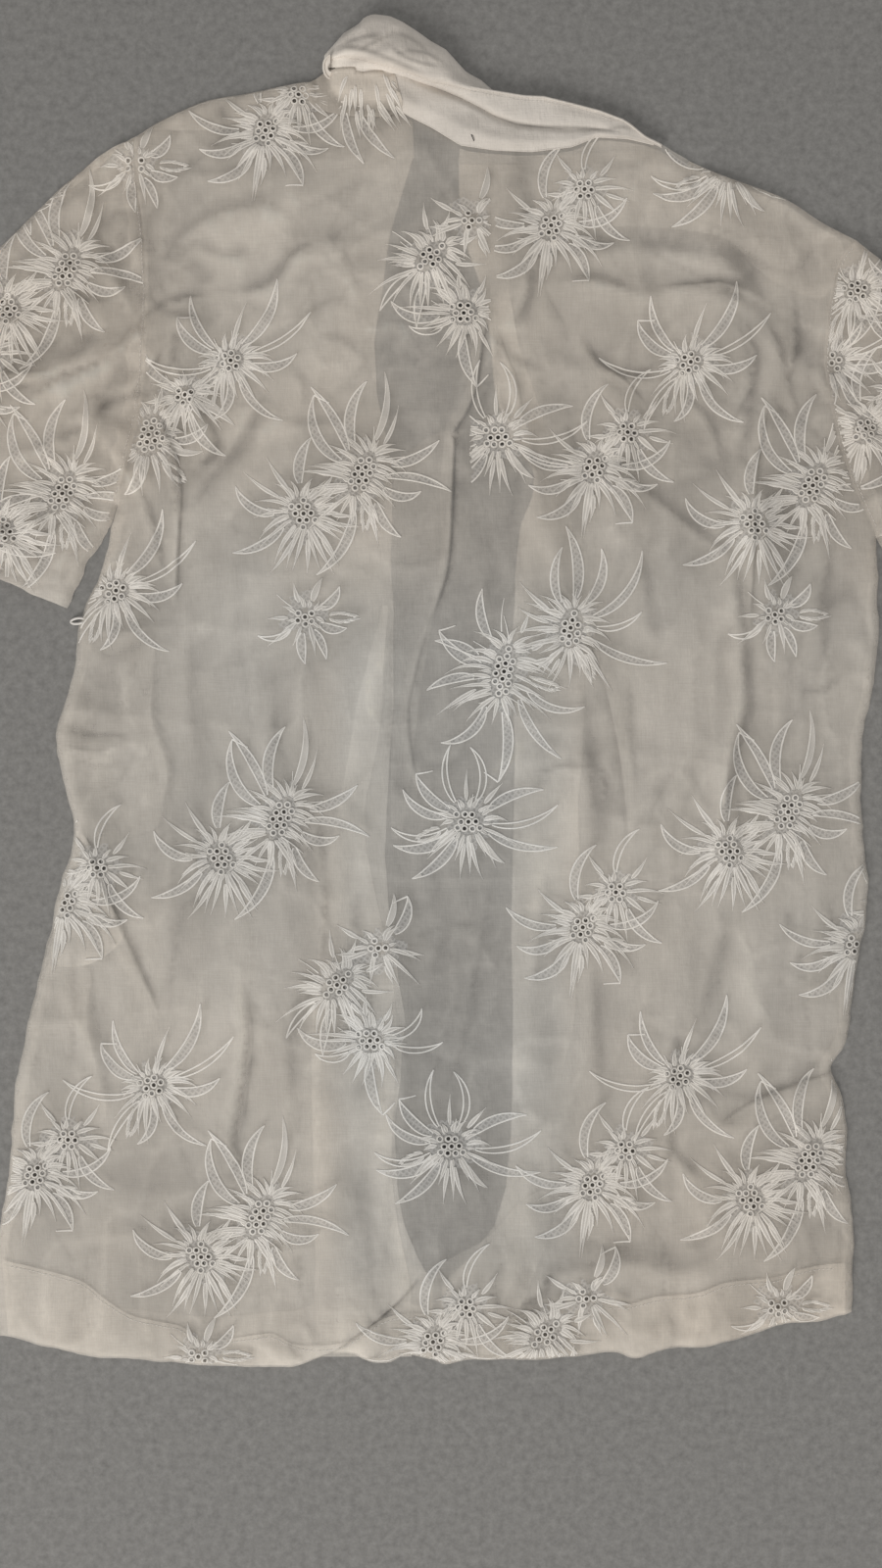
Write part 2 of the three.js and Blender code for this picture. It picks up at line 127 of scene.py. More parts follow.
def near(x, y, line, chunk=20000):
    """Distance, signed side and position along of the nearest point of a polyline."""
    a, b = segments(line)
    d = b - a
    l2 = (d ** 2).sum(1) + 1e-9
    start = np.concatenate([[0], np.cumsum(np.sqrt(l2))[:-1]])
    n = len(x)
    dist, side, along = np.empty(n), np.empty(n), np.empty(n)
    for i in range(0, n, chunk):
        px, py = x[i:i + chunk, None], y[i:i + chunk, None]
        t = np.clip(((px - a[:, 0]) * d[:, 0] + (py - a[:, 1]) * d[:, 1]) / l2, 0, 1)
        ex, ey = px - a[:, 0] - t * d[:, 0], py - a[:, 1] - t * d[:, 1]
        q = ex ** 2 + ey ** 2
        k = q.argmin(1)
        r = np.arange(len(k))
        dist[i:i + chunk] = np.sqrt(q[r, k])
        side[i:i + chunk] = np.sign(d[k, 0] * ey[r, k] - d[k, 1] * ex[r, k])
        along[i:i + chunk] = start[k] + t[r, k] * np.sqrt(l2[k])
    return dist, side, along


def inside(x, y, poly, chunk=20000):
    a = poly
    b = np.roll(poly, -1, axis=0)
    out = np.empty(len(x), bool)
    for i in range(0, len(x), chunk):
        px, py = x[i:i + chunk, None], y[i:i + chunk, None]
        cross = (a[:, 1] > py) != (b[:, 1] > py)
        xi = a[:, 0] + (py - a[:, 1]) * (b[:, 0] - a[:, 0]) / np.where(b[:, 1] == a[:, 1], 1e-9, b[:, 1] - a[:, 1])
        out[i:i + chunk] = (cross & (px < xi)).sum(1) % 2 == 1
    return out


def wavy(line, amp, seed, wave=22.0, ends=10.0):
    """A line moved sideways a little, unevenly, and not at its ends."""
    d = np.gradient(line, axis=0)
    d /= np.linalg.norm(d, axis=1)[:, None] + 1e-9
    s = np.concatenate([[0], np.cumsum(np.linalg.norm(np.diff(line, axis=0), axis=1))])
    k = smooth(0, ends, s) * smooth(0, ends, s[-1] - s)
    w = amp * k * (fbm(s / wave, s * 0 + seed * 3.7, 900 + seed, 3))
    return line + np.stack([-d[:, 1], d[:, 0]], 1) * w[:, None]


# ------------------------------------------------------------------ outline, from the photo's frame
SIDE_L = raw((-298, -391), (-301, -353), (-298, -323), (-292, -281), (-286, -227), (-277, -185), (-268, -149),
             (-261, -113), (-252, -86), (-259, -53), (-263, -23), (-253, 13), (-247, 52), (-234, 82), (-226, 117))
SIDE_R = raw((223, -376), (224, -347), (221, -293), (219, -251), (211, -229), (219, -211), (224, -177), (230, -143),
             (233, -113), (230, -71), (230, -26), (237, 13), (239, 55), (239, 78), (238, 97))
ARM_L = raw((-226, 117), (-215, 163), (-209, 205), (-208, 241), (-209, 277), (-213, 310), (-214, 343))
ARM_R = raw((238, 97), (223, 130), (212, 166), (206, 205), (209, 241), (215, 265), (226, 279))
TOP = raw((-214, 343), (-200, 352), (-173, 364), (-146, 369), (-109, 376), (-97, 370), (-87, 364), (-73, 362),
          (-56, 362), (-48, 357), (-34, 350), (-16, 339), (5, 336), (27, 335), (52, 338), (67, 344), (86, 343),
          (103, 339), (119, 330), (141, 320), (181, 305), (205, 290), (226, 279))
HEM = np.vstack([raw((-298, -391)), pts((9, 1363), (34, 1370), (71, 1379), (101, 1385), (138, 1386), (172, 1389),
                (199, 1392), (245, 1393), (285, 1394), (307, 1392), (325, 1386), (340, 1381), (362, 1382), (380, 1390),
                (399, 1390), (408, 1384), (420, 1382), (442, 1388), (455, 1391), (474, 1388), (516, 1386), (554, 1386),
                (586, 1383), (625, 1380), (647, 1386), (670, 1380), (689, 1375), (714, 1374), (740, 1369), (766, 1362),
                (798, 1351), (833, 1348), (862, 1341)), raw((223, -376))])
HEM_LINE = pts((-3, 1281), (9, 1286), (46, 1295), (83, 1306), (107, 1324), (132, 1340), (160, 1347), (184, 1352),
               (205, 1364), (227, 1366), (255, 1362), (279, 1360), (298, 1370), (322, 1372), (353, 1368), (368, 1359),
               (387, 1347), (408, 1340), (439, 1340), (478, 1345), (516, 1344), (560, 1332), (599, 1322), (618, 1329),
               (644, 1329), (670, 1322), (708, 1319), (740, 1308), (766, 1305), (791, 1302), (814, 1295), (836, 1290),
               (872, 1286))
SLEEVE_OUT_L = raw((-214, 343), (-238, 331), (-274, 298), (-334, 236), (-394, 156))
SLEEVE_OUT_R = raw((226, 279), (242, 266), (275, 242), (332, 198), (405, 136))
SLEEVE_UNDER_L = raw((-226, 117), (-232, 100), (-243, 84), (-257, 54))
SLEEVE_UNDER_R = raw((238, 97), (247, 79), (257, 60), (271, 36))
SLEEVE_HEM_L = raw((-394, 156), (-352, 112), (-308, 78), (-257, 54))
SLEEVE_HEM_R = raw((405, 136), (366, 92), (322, 58), (271, 36))
FRONT = [  # y, the fronts' edges at the gap, the facings' outer edges and the left facing's inner edge, px
    (150, 427, 469, 415, 540, 421), (200, 410, 469, 406, 530, 406), (240, 398, 472, 394, 520, 395),
    (300, 388, 492, 384, 522, 385), (350, 381, 501, 378, 530, 379), (400, 384, 506, 380, 545, 381),
    (450, 393, 520, 386, 562, 388), (480, 398, 546, 388, 572, 391), (505, 398, 546, 389, 578, 393),
    (538, 398, 532, 389, 582, 395), (584, 398, 525, 389, 586, 395), (625, 401, 523, 391, 588, 396),
    (660, 402, 522, 380, 592, 393), (715, 402, 521, 365, 596, 390),
    (760, 400, 524, 357, 594, 385), (820, 396, 524, 346, 588, 372), (870, 392, 524, 337, 590, 374),
    (930, 396, 523, 329, 592, 387), (1000, 405, 522, 322, 588, 400), (1040, 412, 523, 320, 585, 405),
    (1090, 408, 523, 320, 574, 403), (1150, 404, 522, 320, 562, 400), (1210, 405, 516, 320, 559, 400),
    (1250, 412, 505, 321, 548, 406), (1285, 426, 478, 322, 532, 414), (1310, 440, 452, 322, 522, 420),
    (1388, 440, 448, 322, 508, 420)]

side_l = wavy(wavy(spline(SIDE_L, 2.6), 1.5, 1), 0.6, 23, 9)
side_r = wavy(wavy(spline(SIDE_R, 2.6), 1.9, 2), 0.9, 22, 8)
arm_l, arm_r = spline(ARM_L, 3.0), spline(ARM_R, 3.0)
top = spline(TOP, 3.0)
hem = wavy(wavy(spline(HEM, 2.6), 0.7, 3), 0.7, 24, 9)
out_l, out_r = wavy(spline(SLEEVE_OUT_L, 3.0), 1.3, 4), wavy(spline(SLEEVE_OUT_R, 3.0), 1.2, 5)
under_l, under_r = wavy(spline(SLEEVE_UNDER_L, 2.2), 1.7, 6, 10, 6), wavy(spline(SLEEVE_UNDER_R, 2.2), 1.7, 7, 10, 6)
mouth_l, mouth_r = wavy(spline(SLEEVE_HEM_L, 2.8), 2.6, 8, 17), wavy(spline(SLEEVE_HEM_R, 2.8), 2.6, 9, 17)

BACK = np.vstack([hem[:-1], side_r[:-1], arm_r[:-1], top[::-1][:-1], arm_l[::-1][:-1], side_l[::-1][:-1]])
neck_span = (TOP[:, 0] > -104 - CENTRE_X) & (TOP[:, 0] < 122 - CENTRE_X)
NECK = spline(TOP[neck_span], 3.0)
FREE = [side_l, side_r, hem, out_l, out_r, under_l, under_r,
        top[top[:, 0] < -104 - CENTRE_X], top[top[:, 0] > 122 - CENTRE_X]]

yy = np.array([mm(0, r[0])[1] for r in FRONT])[::-1]


def front_x(y, k):
    xs = np.array([mm(r[k], 0)[0] for r in FRONT])[::-1]
    return np.interp(y, yy, xs)


# ------------------------------------------------------------------ folds of the back
# soft ridges: points, height, width on the left and on the right of the line as it runs
RIDGES = [
    # upper left, arching from the armhole to the collar
    (pts((172, 252), (215, 232), (262, 216), (320, 206), (392, 199)), 2.6, 10, 20),
    (pts((262, 300), (292, 262), (322, 250), (352, 252)), 1.8, 7, 14),
    (pts((205, 205), (260, 190), (330, 182)), 1.3, 12, 9),
    (pts((330, 330), (365, 295), (392, 270)), 1.2, 9, 12),
    # beside the left armhole and down the left side
    (pts((176, 372), (196, 404), (202, 440), (190, 486)), 2.2, 11, 6),
    (pts((196, 490), (190, 540), (180, 600)), 2.2, 12, 7),
    (pts((128, 505), (148, 476), (158, 430)), 2.2, 7, 10),
    (pts((205, 512), (212, 590), (206, 660)), 1.2, 9, 14),
    (pts((58, 752), (90, 762), (134, 757)), 1.3, 7, 10),
    (pts((76, 806), (96, 840), (112, 900), (116, 950)), 1.7, 8, 13),
    (pts((60, 700), (84, 724), (130, 740)), 1.4, 8, 8),
    # left of the gap
    (pts((388, 600), (380, 690), (352, 830)), 2.0, 8, 12),
    (pts((352, 830), (338, 960), (322, 1080)), 1.3, 9, 13),
    (pts((250, 960), (246, 1050), (236, 1120), (214, 1180)), 1.7, 7, 14),
    (pts((118, 980), (130, 1080), (118, 1160)), 1.4, 12, 9),
    (pts((300, 470), (285, 560), (262, 640)), 0.9, 10, 14),
    # the pleat
    (pts((500, 322), (484, 370), (464, 445), (456, 560), (440, 640)), 1.6, 15, 5),
    (pts((506, 330), (522, 386), (548, 520), (580, 610)), 1.8, 5, 16),
    (pts((585, 470), (592, 560), (600, 660), (630, 860)), 1.2, 8, 12),
    (pts((520, 330), (560, 372), (600, 395)), 1.0, 8, 8),
    # upper right
    (pts((538, 294), (580, 292), (640, 300), (700, 303), (748, 312), (786, 350)), 2.0, 6, 12),
    (pts((560, 372), (610, 396), (650, 440)), 1.5, 6, 11),
    (pts((668, 222), (720, 235), (790, 262), (830, 300)), 1.2, 12, 12),
    # down the right side
    (pts((803, 305), (792, 350), (782, 410), (772, 470)), 1.9, 6, 14),
    (pts((776, 470), (774, 550), (773, 640), (766, 700)), 2.2, 6, 13),
    (pts((756, 700), (742, 762), (744, 840), (747, 905)), 2.8, 5, 12),
    (pts((836, 430), (838, 520), (826, 600), (822, 700)), 1.8, 12, 8),
    (pts((690, 440), (676, 540), (684, 640)), 1.3, 9, 16),
    (pts((640, 470), (648, 560), (640, 680)), 1.0, 9, 11),
    (pts((700, 640), (706, 720), (690, 800)), 1.1, 12, 8),
    (pts((862, 650), (880, 672), (872, 705)), 2.2, 7, 7),
    (pts((668, 930), (692, 1000), (684, 1080)), 1.2, 14, 9),
    # to the notch in the right side
    (pts((716, 1184), (756, 1150), (800, 1128), (862, 1104)), 2.0, 7, 12),
    (pts((700, 1180), (704, 1220), (740, 1262)), 1.3, 10, 8),
    (pts((590, 1040), (572, 1120), (560, 1200)), 1.4, 8, 12),
    # hem
    (pts((560, 1322), (580, 1296), (604, 1282), (650, 1284), (704, 1292)), 1.9, 8, 11),
    (pts((500, 1350), (520, 1300), (528, 1260)), 1.7, 10, 8),
    (pts((120, 1330), (160, 1350), (196, 1366), (240, 1382)), 0.7, 7, 10),
    (pts((262, 1364), (288, 1384), (316, 1388)), 1.5, 6, 6),
    (pts((420, 1330), (440, 1300), (442, 1250)), 1.0, 8, 14),
    # sleeves
    (pts((0, 392), (60, 382), (112, 364), (170, 342), (232, 320)), 3.4, 8, 14),
    (pts((96, 430), (128, 462), (150, 512)), 2.8, 10, 7),
    (pts((20, 470), (70, 450), (96, 430)), 1.8, 10, 10),
    (pts((-60, 330), (-10, 345), (40, 330)), 2.2, 10, 12),
    (pts((-110, 400), (-60, 430), (-20, 500)), 2.6, 12, 9),
    (pts((10, 560), (40, 540), (84, 548)), 1.8, 8, 8),
    (pts((1040, 420), (980, 440), (920, 500)), 2.8, 9, 12),
    (pts((960, 300), (925, 340), (880, 372)), 2.0, 9, 12),
    (pts((1090, 470), (1030, 520), (960, 560)), 2.0, 11, 8),
    (pts((862, 420), (890, 470), (900, 540)), 2.2, 9, 7),
]
# folded edges: the cloth on the left of the line as it runs lies a step above the rest
EDGES = [
    (pts((439, 632), (448, 612), (459, 566), (464, 451), (467, 437), (477, 421), (486, 397), (489, 376), (494, 344),
         (502, 319)), 1.1, 11.0),
    (pts((572, 600), (596, 645), (614, 690), (630, 764), (637, 820), (640, 862)), 0.6, 14.0),
    (pts((307, 1391), (337, 1378), (356, 1366), (385, 1345), (410, 1322), (432, 1296)), 1.5, 16.0),
    (pts((181, 620), (184, 560), (186, 500), (176, 452), (160, 420)), 1.3, 10.0),
    (pts((164, 1038), (156, 1015), (138, 975), (115, 923), (92, 860), (82, 830)), 0.35, 12.0),
    (pts((764, 640), (767, 560), (771, 480), (783, 410)), 0.8, 12.0),
    (pts((742, 900), (740, 830), (741, 765)), 0.7, 12.0),
    (pts((862, 1090), (812, 1104), (760, 1126), (728, 1150)), 0.6, 12.0),
    (pts((600, 396), (640, 430), (664, 462)), 0.6, 10.0),
    (pts((0, 400), (58, 390), (112, 371), (150, 354)), 0.9, 10.0),
    (pts((120, 762), (92, 766), (60, 758)), 0.2, 9.0),
    (pts((428, 806), (420, 768), (417, 724), (425, 682), (438, 636)), 0.4, 9.0),
    (pts((534, 436), (527, 392), (515, 362), (507, 334)), 0.5, 9.0),
    (pts((760, 300), (738, 291), (706, 292), (672, 296)), 0.5, 9.0),
    (pts((662, 420), (640, 392), (612, 372), (596, 344)), 0.5, 9.0),
    (pts((246, 1160), (254, 1105), (258, 1050), (250, 1000)), 0.25, 9.0),
]
# creases, sunk into the cloth and painted with shade along them: points, depth, width
CREASES = [
    # upper left
    (pts((173, 262), (196, 233), (231, 217), (271, 211), (300, 227)), 0.55, 6),
    (pts((12, 429), (35, 406), (87, 383), (127, 354), (156, 320), (190, 305), (242, 299)), 0.75, 5),
    (pts((242, 299), (277, 288), (300, 262), (323, 250)), 0.75, 7),
    (pts((104, 435), (113, 412), (144, 406), (167, 400)), 0.75, 4.5),
    (pts((107, 435), (124, 464), (144, 499), (159, 539), (167, 579), (182, 596)), 0.7, 4),
    (pts((167, 349), (190, 389), (213, 429), (222, 458), (203, 481), (190, 499)), 0.75, 5),
    (pts((271, 400), (260, 429), (242, 458), (219, 487), (196, 522)), 0.6, 7),
    (pts((323, 343), (352, 349), (375, 372)), 0.4, 5),
    (pts((277, 372), (306, 383), (312, 420)), 0.35, 5),
    (pts((180, 172), (219, 178), (262, 168)), 0.4, 5),
    (pts((330, 236), (352, 262), (366, 300)), 0.3, 7),
    (pts((60, 300), (100, 310), (132, 300)), 0.35, 6),
    (pts((0, 372), (30, 384), (66, 378)), 0.4, 5),
    (pts((40, 452), (62, 470), (80, 500)), 0.35, 6),
    (pts((150, 205), (128, 232), (124, 262)), 0.35, 6),
    # the pleat's foot
    (pts((502, 318), (509, 352), (497, 392), (488, 430)), 0.55, 7),
    (pts((542, 268), (539, 305), (525, 331)), 0.6, 5),
    (pts((512, 352), (530, 372), (556, 380)), 0.4, 5),
    (pts((494, 300), (478, 330), (470, 356)), 0.4, 5),
    (pts((460, 470), (452, 540), (446, 600)), 0.35, 8),
    # upper right
    (pts((537, 262), (594, 253), (640, 248), (681, 253), (738, 262), (756, 279), (779, 308), (808, 317)), 0.6, 10),
    (pts((669, 294), (704, 291), (738, 288), (764, 297), (785, 314)), 0.55, 4.5),
    (pts((594, 343), (606, 366), (635, 383), (681, 384)), 0.7, 7),
    (pts((574, 429), (588, 464), (588, 510)), 0.45, 6),
    (pts((690, 440), (720, 470), (760, 490)), 0.4, 16),
    (pts((750, 325), (764, 383), (762, 429), (756, 464), (767, 499)), 0.5, 5),
    (pts((773, 314), (790, 349), (808, 406), (819, 441)), 0.5, 4),
    (pts((640, 487), (692, 527), (738, 562), (750, 579)), 0.6, 5),
    (pts((640, 430), (648, 470), (640, 500)), 0.35, 5),
    # down the right
    (pts((750, 556), (752, 600), (759, 658), (761, 704), (756, 750), (744, 796), (738, 831), (735, 868)), 0.95, 6.5),
    (pts((773, 464), (779, 522), (786, 579)), 0.45, 5),
    (pts((597, 700), (601, 773), (607, 842), (601, 890)), 0.6, 9),
    (pts((542, 790), (580, 782), (612, 787), (617, 831)), 0.5, 4),
    (pts((606, 960), (609, 1038), (614, 1108), (609, 1154)), 0.6, 9),
    (pts((727, 900), (738, 946), (727, 992), (715, 1038)), 0.6, 9),
    (pts((692, 1038), (687, 1090), (698, 1131)), 0.5, 7),
    (pts((698, 1137), (727, 1113), (762, 1119), (796, 1108), (848, 1079)), 0.35, 6),
    (pts((689, 1137), (684, 1166), (708, 1194), (722, 1203)), 0.7, 5.5),
    (pts((548, 1312), (580, 1290), (640, 1282), (700, 1290), (740, 1270)), 0.55, 10),
    (pts((525, 1334), (553, 1316), (562, 1288)), 0.75, 5),
    (pts((694, 1269), (722, 1259), (731, 1222)), 0.45, 6),
    (pts((640, 687), (644, 760), (650, 819)), 0.4, 4),
    (pts((800, 640), (806, 700), (800, 760)), 0.35, 8),
    (pts((846, 560), (836, 620), (842, 680)), 0.4, 5),
    (pts((858, 690), (838, 706), (812, 704)), 0.5, 4),
    (pts((656, 560), (662, 620), (668, 660)), 0.35, 7),
    (pts((560, 880), (552, 950), (546, 1010)), 0.3, 8),
    # left of the gap and down the left
    (pts((248, 980), (254, 1050), (248, 1108), (239, 1165), (246, 1180), (232, 1196), (211, 1194)), 0.75, 5),
    (pts((84, 838), (96, 866), (118, 923), (141, 975), (159, 1015), (168, 1045)), 0.42, 3.5),
    (pts((92, 1000), (98, 1045), (108, 1090), (118, 1140)), 0.5, 9),
    (pts((94, 1170), (130, 1205), (180, 1205), (214, 1170)), 0.4, 14),
    (pts((289, 690), (280, 744), (284, 780)), 0.3, 9),
    (pts((323, 819), (332, 911), (329, 992)), 0.5, 4),
    (pts((64, 741), (96, 752), (136, 752)), 0.55, 2.6),
    (pts((70, 772), (100, 782), (133, 779)), 0.5, 2.6),
    (pts((160, 652), (159, 700), (160, 733), (176, 785), (166, 842)), 0.4, 4),
    (pts((200, 620), (196, 700), (206, 780)), 0.3, 9),
    (pts((236, 560), (244, 600), (240, 660)), 0.3, 8),
    (pts((398, 612), (399, 700), (396, 790)), 0.35, 4),
    (pts((368, 890), (360, 960), (352, 1010)), 0.3, 6),
    (pts((306, 1000), (298, 1070), (300, 1130)), 0.35, 7),
    (pts((444, 1288), (420, 1312), (396, 1336), (362, 1362), (332, 1379)), 0.5, 2.2),
    (pts((476, 1296), (458, 1330), (444, 1366)), 0.45, 4),
    (pts((508, 1286), (502, 1312), (512, 1340)), 0.45, 4),
    (pts((522, 1350), (560, 1334), (604, 1322)), 0.4, 4),
    (pts((180, 1362), (196, 1350), (206, 1384)), 0.4, 4),
    (pts((292, 1368), (300, 1378), (310, 1388)), 0.5, 3),
    # in the gap
    (pts((426, 860), (452, 930), (440, 1010)), 0.25, 8),
    (pts((500, 900), (488, 980), (474, 1060), (452, 1110)), 0.3, 6),
    (pts((420, 960), (460, 944), (510, 948)), 0.25, 4),
    (pts((98, 432), (110, 416), (138, 404), (160, 372), (170, 356)), 0.8, 3.4),
    (pts((0, 472), (30, 462), (70, 448), (98, 434)), 0.55, 6), (pts((150, 398), (170, 440), (181, 500), (184, 560), (170, 604)), 0.6, 2.2),
    (pts((128, 330), (140, 316), (147, 298)), 0.7, 3.4), (pts((20, 505), (60, 498), (100, 522)), 0.7, 5),
    (pts((0, 582), (40, 600), (72, 606)), 0.6, 4), (pts((60, 598), (80, 562), (106, 540)), 0.7, 3.4),
    (pts((146, 300), (172, 320), (215, 330)), 0.5, 5), (pts((100, 250), (122, 280), (134, 312)), 0.5, 6),
    (pts((-20, 560), (10, 540), (50, 545), (84, 520)), 0.45, 4), (pts((-90, 520), (-50, 500), (0, 512)), 0.7, 5),
    (pts((-60, 440), (-20, 470), (0, 500)), 0.6, 5), (pts((30, 540), (44, 566), (40, 596)), 0.5, 3),
    (pts((180, 330), (176, 370), (150, 400)), 0.6, 4), (pts((200, 250), (230, 262), (262, 258)), 0.5, 6),
    (pts((556, 290), (610, 286), (650, 300), (700, 296)), 0.6, 5), (pts((760, 330), (770, 380), (748, 430)), 0.6, 4),
    (pts((690, 400), (724, 430), (736, 480)), 0.5, 4), (pts((806, 300), (812, 350), (800, 400)), 0.6, 4),
    # sleeves at the right
    (pts((858, 330), (846, 380), (852, 440)), 0.5, 5),
    (pts((900, 380), (940, 400), (1000, 404)), 0.5, 6),
    (pts((872, 520), (900, 500), (950, 500)), 0.5, 6),
    (pts((1000, 500), (1040, 480), (1090, 470)), 0.4, 6),
    (pts((-20, 450), (-60, 400), (-110, 370)), 0.5, 6),
    (pts((-100, 470), (-60, 480), (-20, 520)), 0.45, 6),
]
CREASES = [(spline(p, 5.0), 0.85 * depth, 0.78 * w) for p, depth, w in CREASES]
# so that each crease's sharp edge and its painted crest highlight lie on its lower left, toward the key lamp
for i, (p, depth, w) in enumerate(CREASES):      # all run so that the upper right is on their left
    if (p[-1, 0] - p[0, 0]) < (p[-1, 1] - p[0, 1]):
        CREASES[i] = (p[::-1], depth, w)
EDGES = [(spline(p, 2.4), h, w) for p, h, w in EDGES]
RIDGES = [(spline(p, 6.0), h, a, b) for p, h, a, b in RIDGES]

HEADS = []      # places of embroidered heads, filled in below: x, y, radius


def front_height(x, y):
    """Underlying front, and the underside of a sleeve."""
    return 0.42 + 0.28 * (1 + fbm(x / 46, y / 90, 40, 3)) + 0.18 * ridged(x / 30, y / 75, 44)


def base_height(x, y):
    l, r = front_x(y, 1), front_x(y, 2)
    fl, fr = front_x(y, 3), front_x(y, 4)
    over = smooth(-10, 4, x - fl) * smooth(-10, 4, fr - x)
    mid, half = (l + r) / 2, (r - l) / 2
    gap = smooth(-2, 12, half - np.abs(x - mid)) * (y > -410)
    return 1.75 + 0.55 * over - 1.2 * gap


def creased(x, y):
    """How far into a crease a place is, to about 1, and below 0 on the crest beside it. It sinks the cloth, and through
    the lightness paints shade in the crease and a highlight on the crest.
    """
    out, lit = np.zeros_like(x), np.zeros_like(x)
    for line, depth, w in CREASES:
        lo, hi = line.min(0) - 3.2 * w, line.max(0) + 3.2 * w
        k = np.nonzero((x > lo[0]) & (x < hi[0]) & (y > lo[1]) & (y < hi[1]))[0]
        if not len(k):
            continue
        d, s, t = near(x[k], y[k], line)
        total = np.linalg.norm(np.diff(line, axis=0), axis=1).sum()
        fade = 0.15 + 0.85 * smooth(0, 0.25 * total, t) * smooth(0, 0.25 * total, total - t)
        wide = w * (1 + 0.35 * vnoise(x[k] / 15, y[k] / 15, 63)) * (0.55 + 0.45 * fade)
        uneven = 1 + 0.35 * vnoise(x[k] / 21, y[k] / 21, 64)
        # the crease is sharp on the lower left, the lit side, and soft on the upper right
        v = depth * fade * uneven * np.exp(-(d / (wide * np.where(s >= 0, 1.15, 0.42))) ** 2)
        out[k] = np.maximum(out[k], v) + 0.25 * np.minimum(out[k], v)
        # painted highlight on the crest beside the crease, on the lit side
        crest = np.where(s < 0, np.exp(-((d - 1.0 * wide) / (0.75 * wide)) ** 2), 0.0)
        lit[k] = np.maximum(lit[k], 0.30 * depth * fade * uneven * crest)
    return out - lit


def crumples(x, y):
    """Small hollows and ridges left by packing: most in the shoulders, the sleeves and above the hem."""
    much = 0.30 + 0.75 * smooth(90, 230, y) + 0.5 * smooth(180, 230, np.abs(x)) + 0.45 * smooth(-300, -370, y)
    much = much * (0.55 + 0.45 * vnoise(x / 80, y / 80, 521))
    wx, wy = 9 * vnoise(x / 30, y / 30, 523), 9 * vnoise(x / 30, y / 30, 525)
    a = (1 - np.abs(vnoise((x + 0.5 * y + wx) / 20, (y - 0.5 * x + wy) / 34, 527))) ** 5
    b = (1 - np.abs(vnoise((x - 0.7 * y + wy) / 17, (y + 0.7 * x + wx) / 30, 529))) ** 5
    c = (1 - np.abs(vnoise((x + wx) / 12, (y + wy) / 15, 531))) ** 4
    return 1.9 * much * (0.75 * a - 0.62 * b + 0.30 * c + 0.35 * fbm(x / 16, y / 18, 533, 2))


def streaks(x, y, seed):
    """Thin wandering lines, 0 to 1: leaning at the shoulders, upright below."""
    wl = smooth(40, -60, x) * smooth(-40, 90, y)
    wr = smooth(60, 140, x) * smooth(100, 190, y)
    out = np.zeros_like(x)
    wander = 10 * vnoise(x / 44, y / 44, seed + 1)
    for w, ang in ((wl, 30), (wr, 155), (1 - wl - wr, 92)):
        c, s = math.cos(math.radians(ang)), math.sin(math.radians(ang))
        along, across = x * c + y * s, -x * s + y * c
        line = (1 - np.abs(vnoise((across + wander) / 27, along / 90, seed + 2 + ang))) ** 10
        thin = (1 - np.abs(vnoise((across - wander) / 13, along / 60, seed + 3 + ang))) ** 10
        out += w * (line * smooth(-0.5, 0.3, vnoise(x / 50, y / 50, seed + 4)) + 0.6 * thin * smooth(-0.2, 0.5, vnoise(x / 38, y / 38, seed + 5)))
    return out


# broad patches made lighter or darker: partly painted shade, as where an edge curls away, partly the density of the
# cloth layers beneath
PLACES_LIGHT = [  # px of the middle, half sizes px, lightness
    ((200, 122), (46, 20), -0.14), ((60, 215), (60, 60), -0.06), ((650, 1285), (46, 26), -0.10), ((618, 330), (50, 36), 0.03),
    ((330, 232), (60, 28), 0.05), ((225, 700), (50, 120), 0.04), ((556, 790), (18, 90), -0.09), ((548, 700), (16, 160), -0.03), ((364, 740), (14, 90), -0.03), ((556, 500), (18, 60), -0.05),
    ((760, 420), (60, 80), -0.05), ((700, 250), (70, 24), -0.05), ((96, 700), (30, 60), -0.04), ((150, 950), (40, 90), 0.03),
    ((470, 330), (26, 70), -0.06), ((250, 560), (30, 60), 0.03), ((820, 640), (26, 90), -0.05), ((760, 1010), (60, 60), 0.03),
    ((700, 890), (60, 40), -0.04), ((330, 1130), (20, 130), 0.03), ((590, 1180), (26, 110), 0.02), ((540, 1180), (15, 80), 0.05),
]


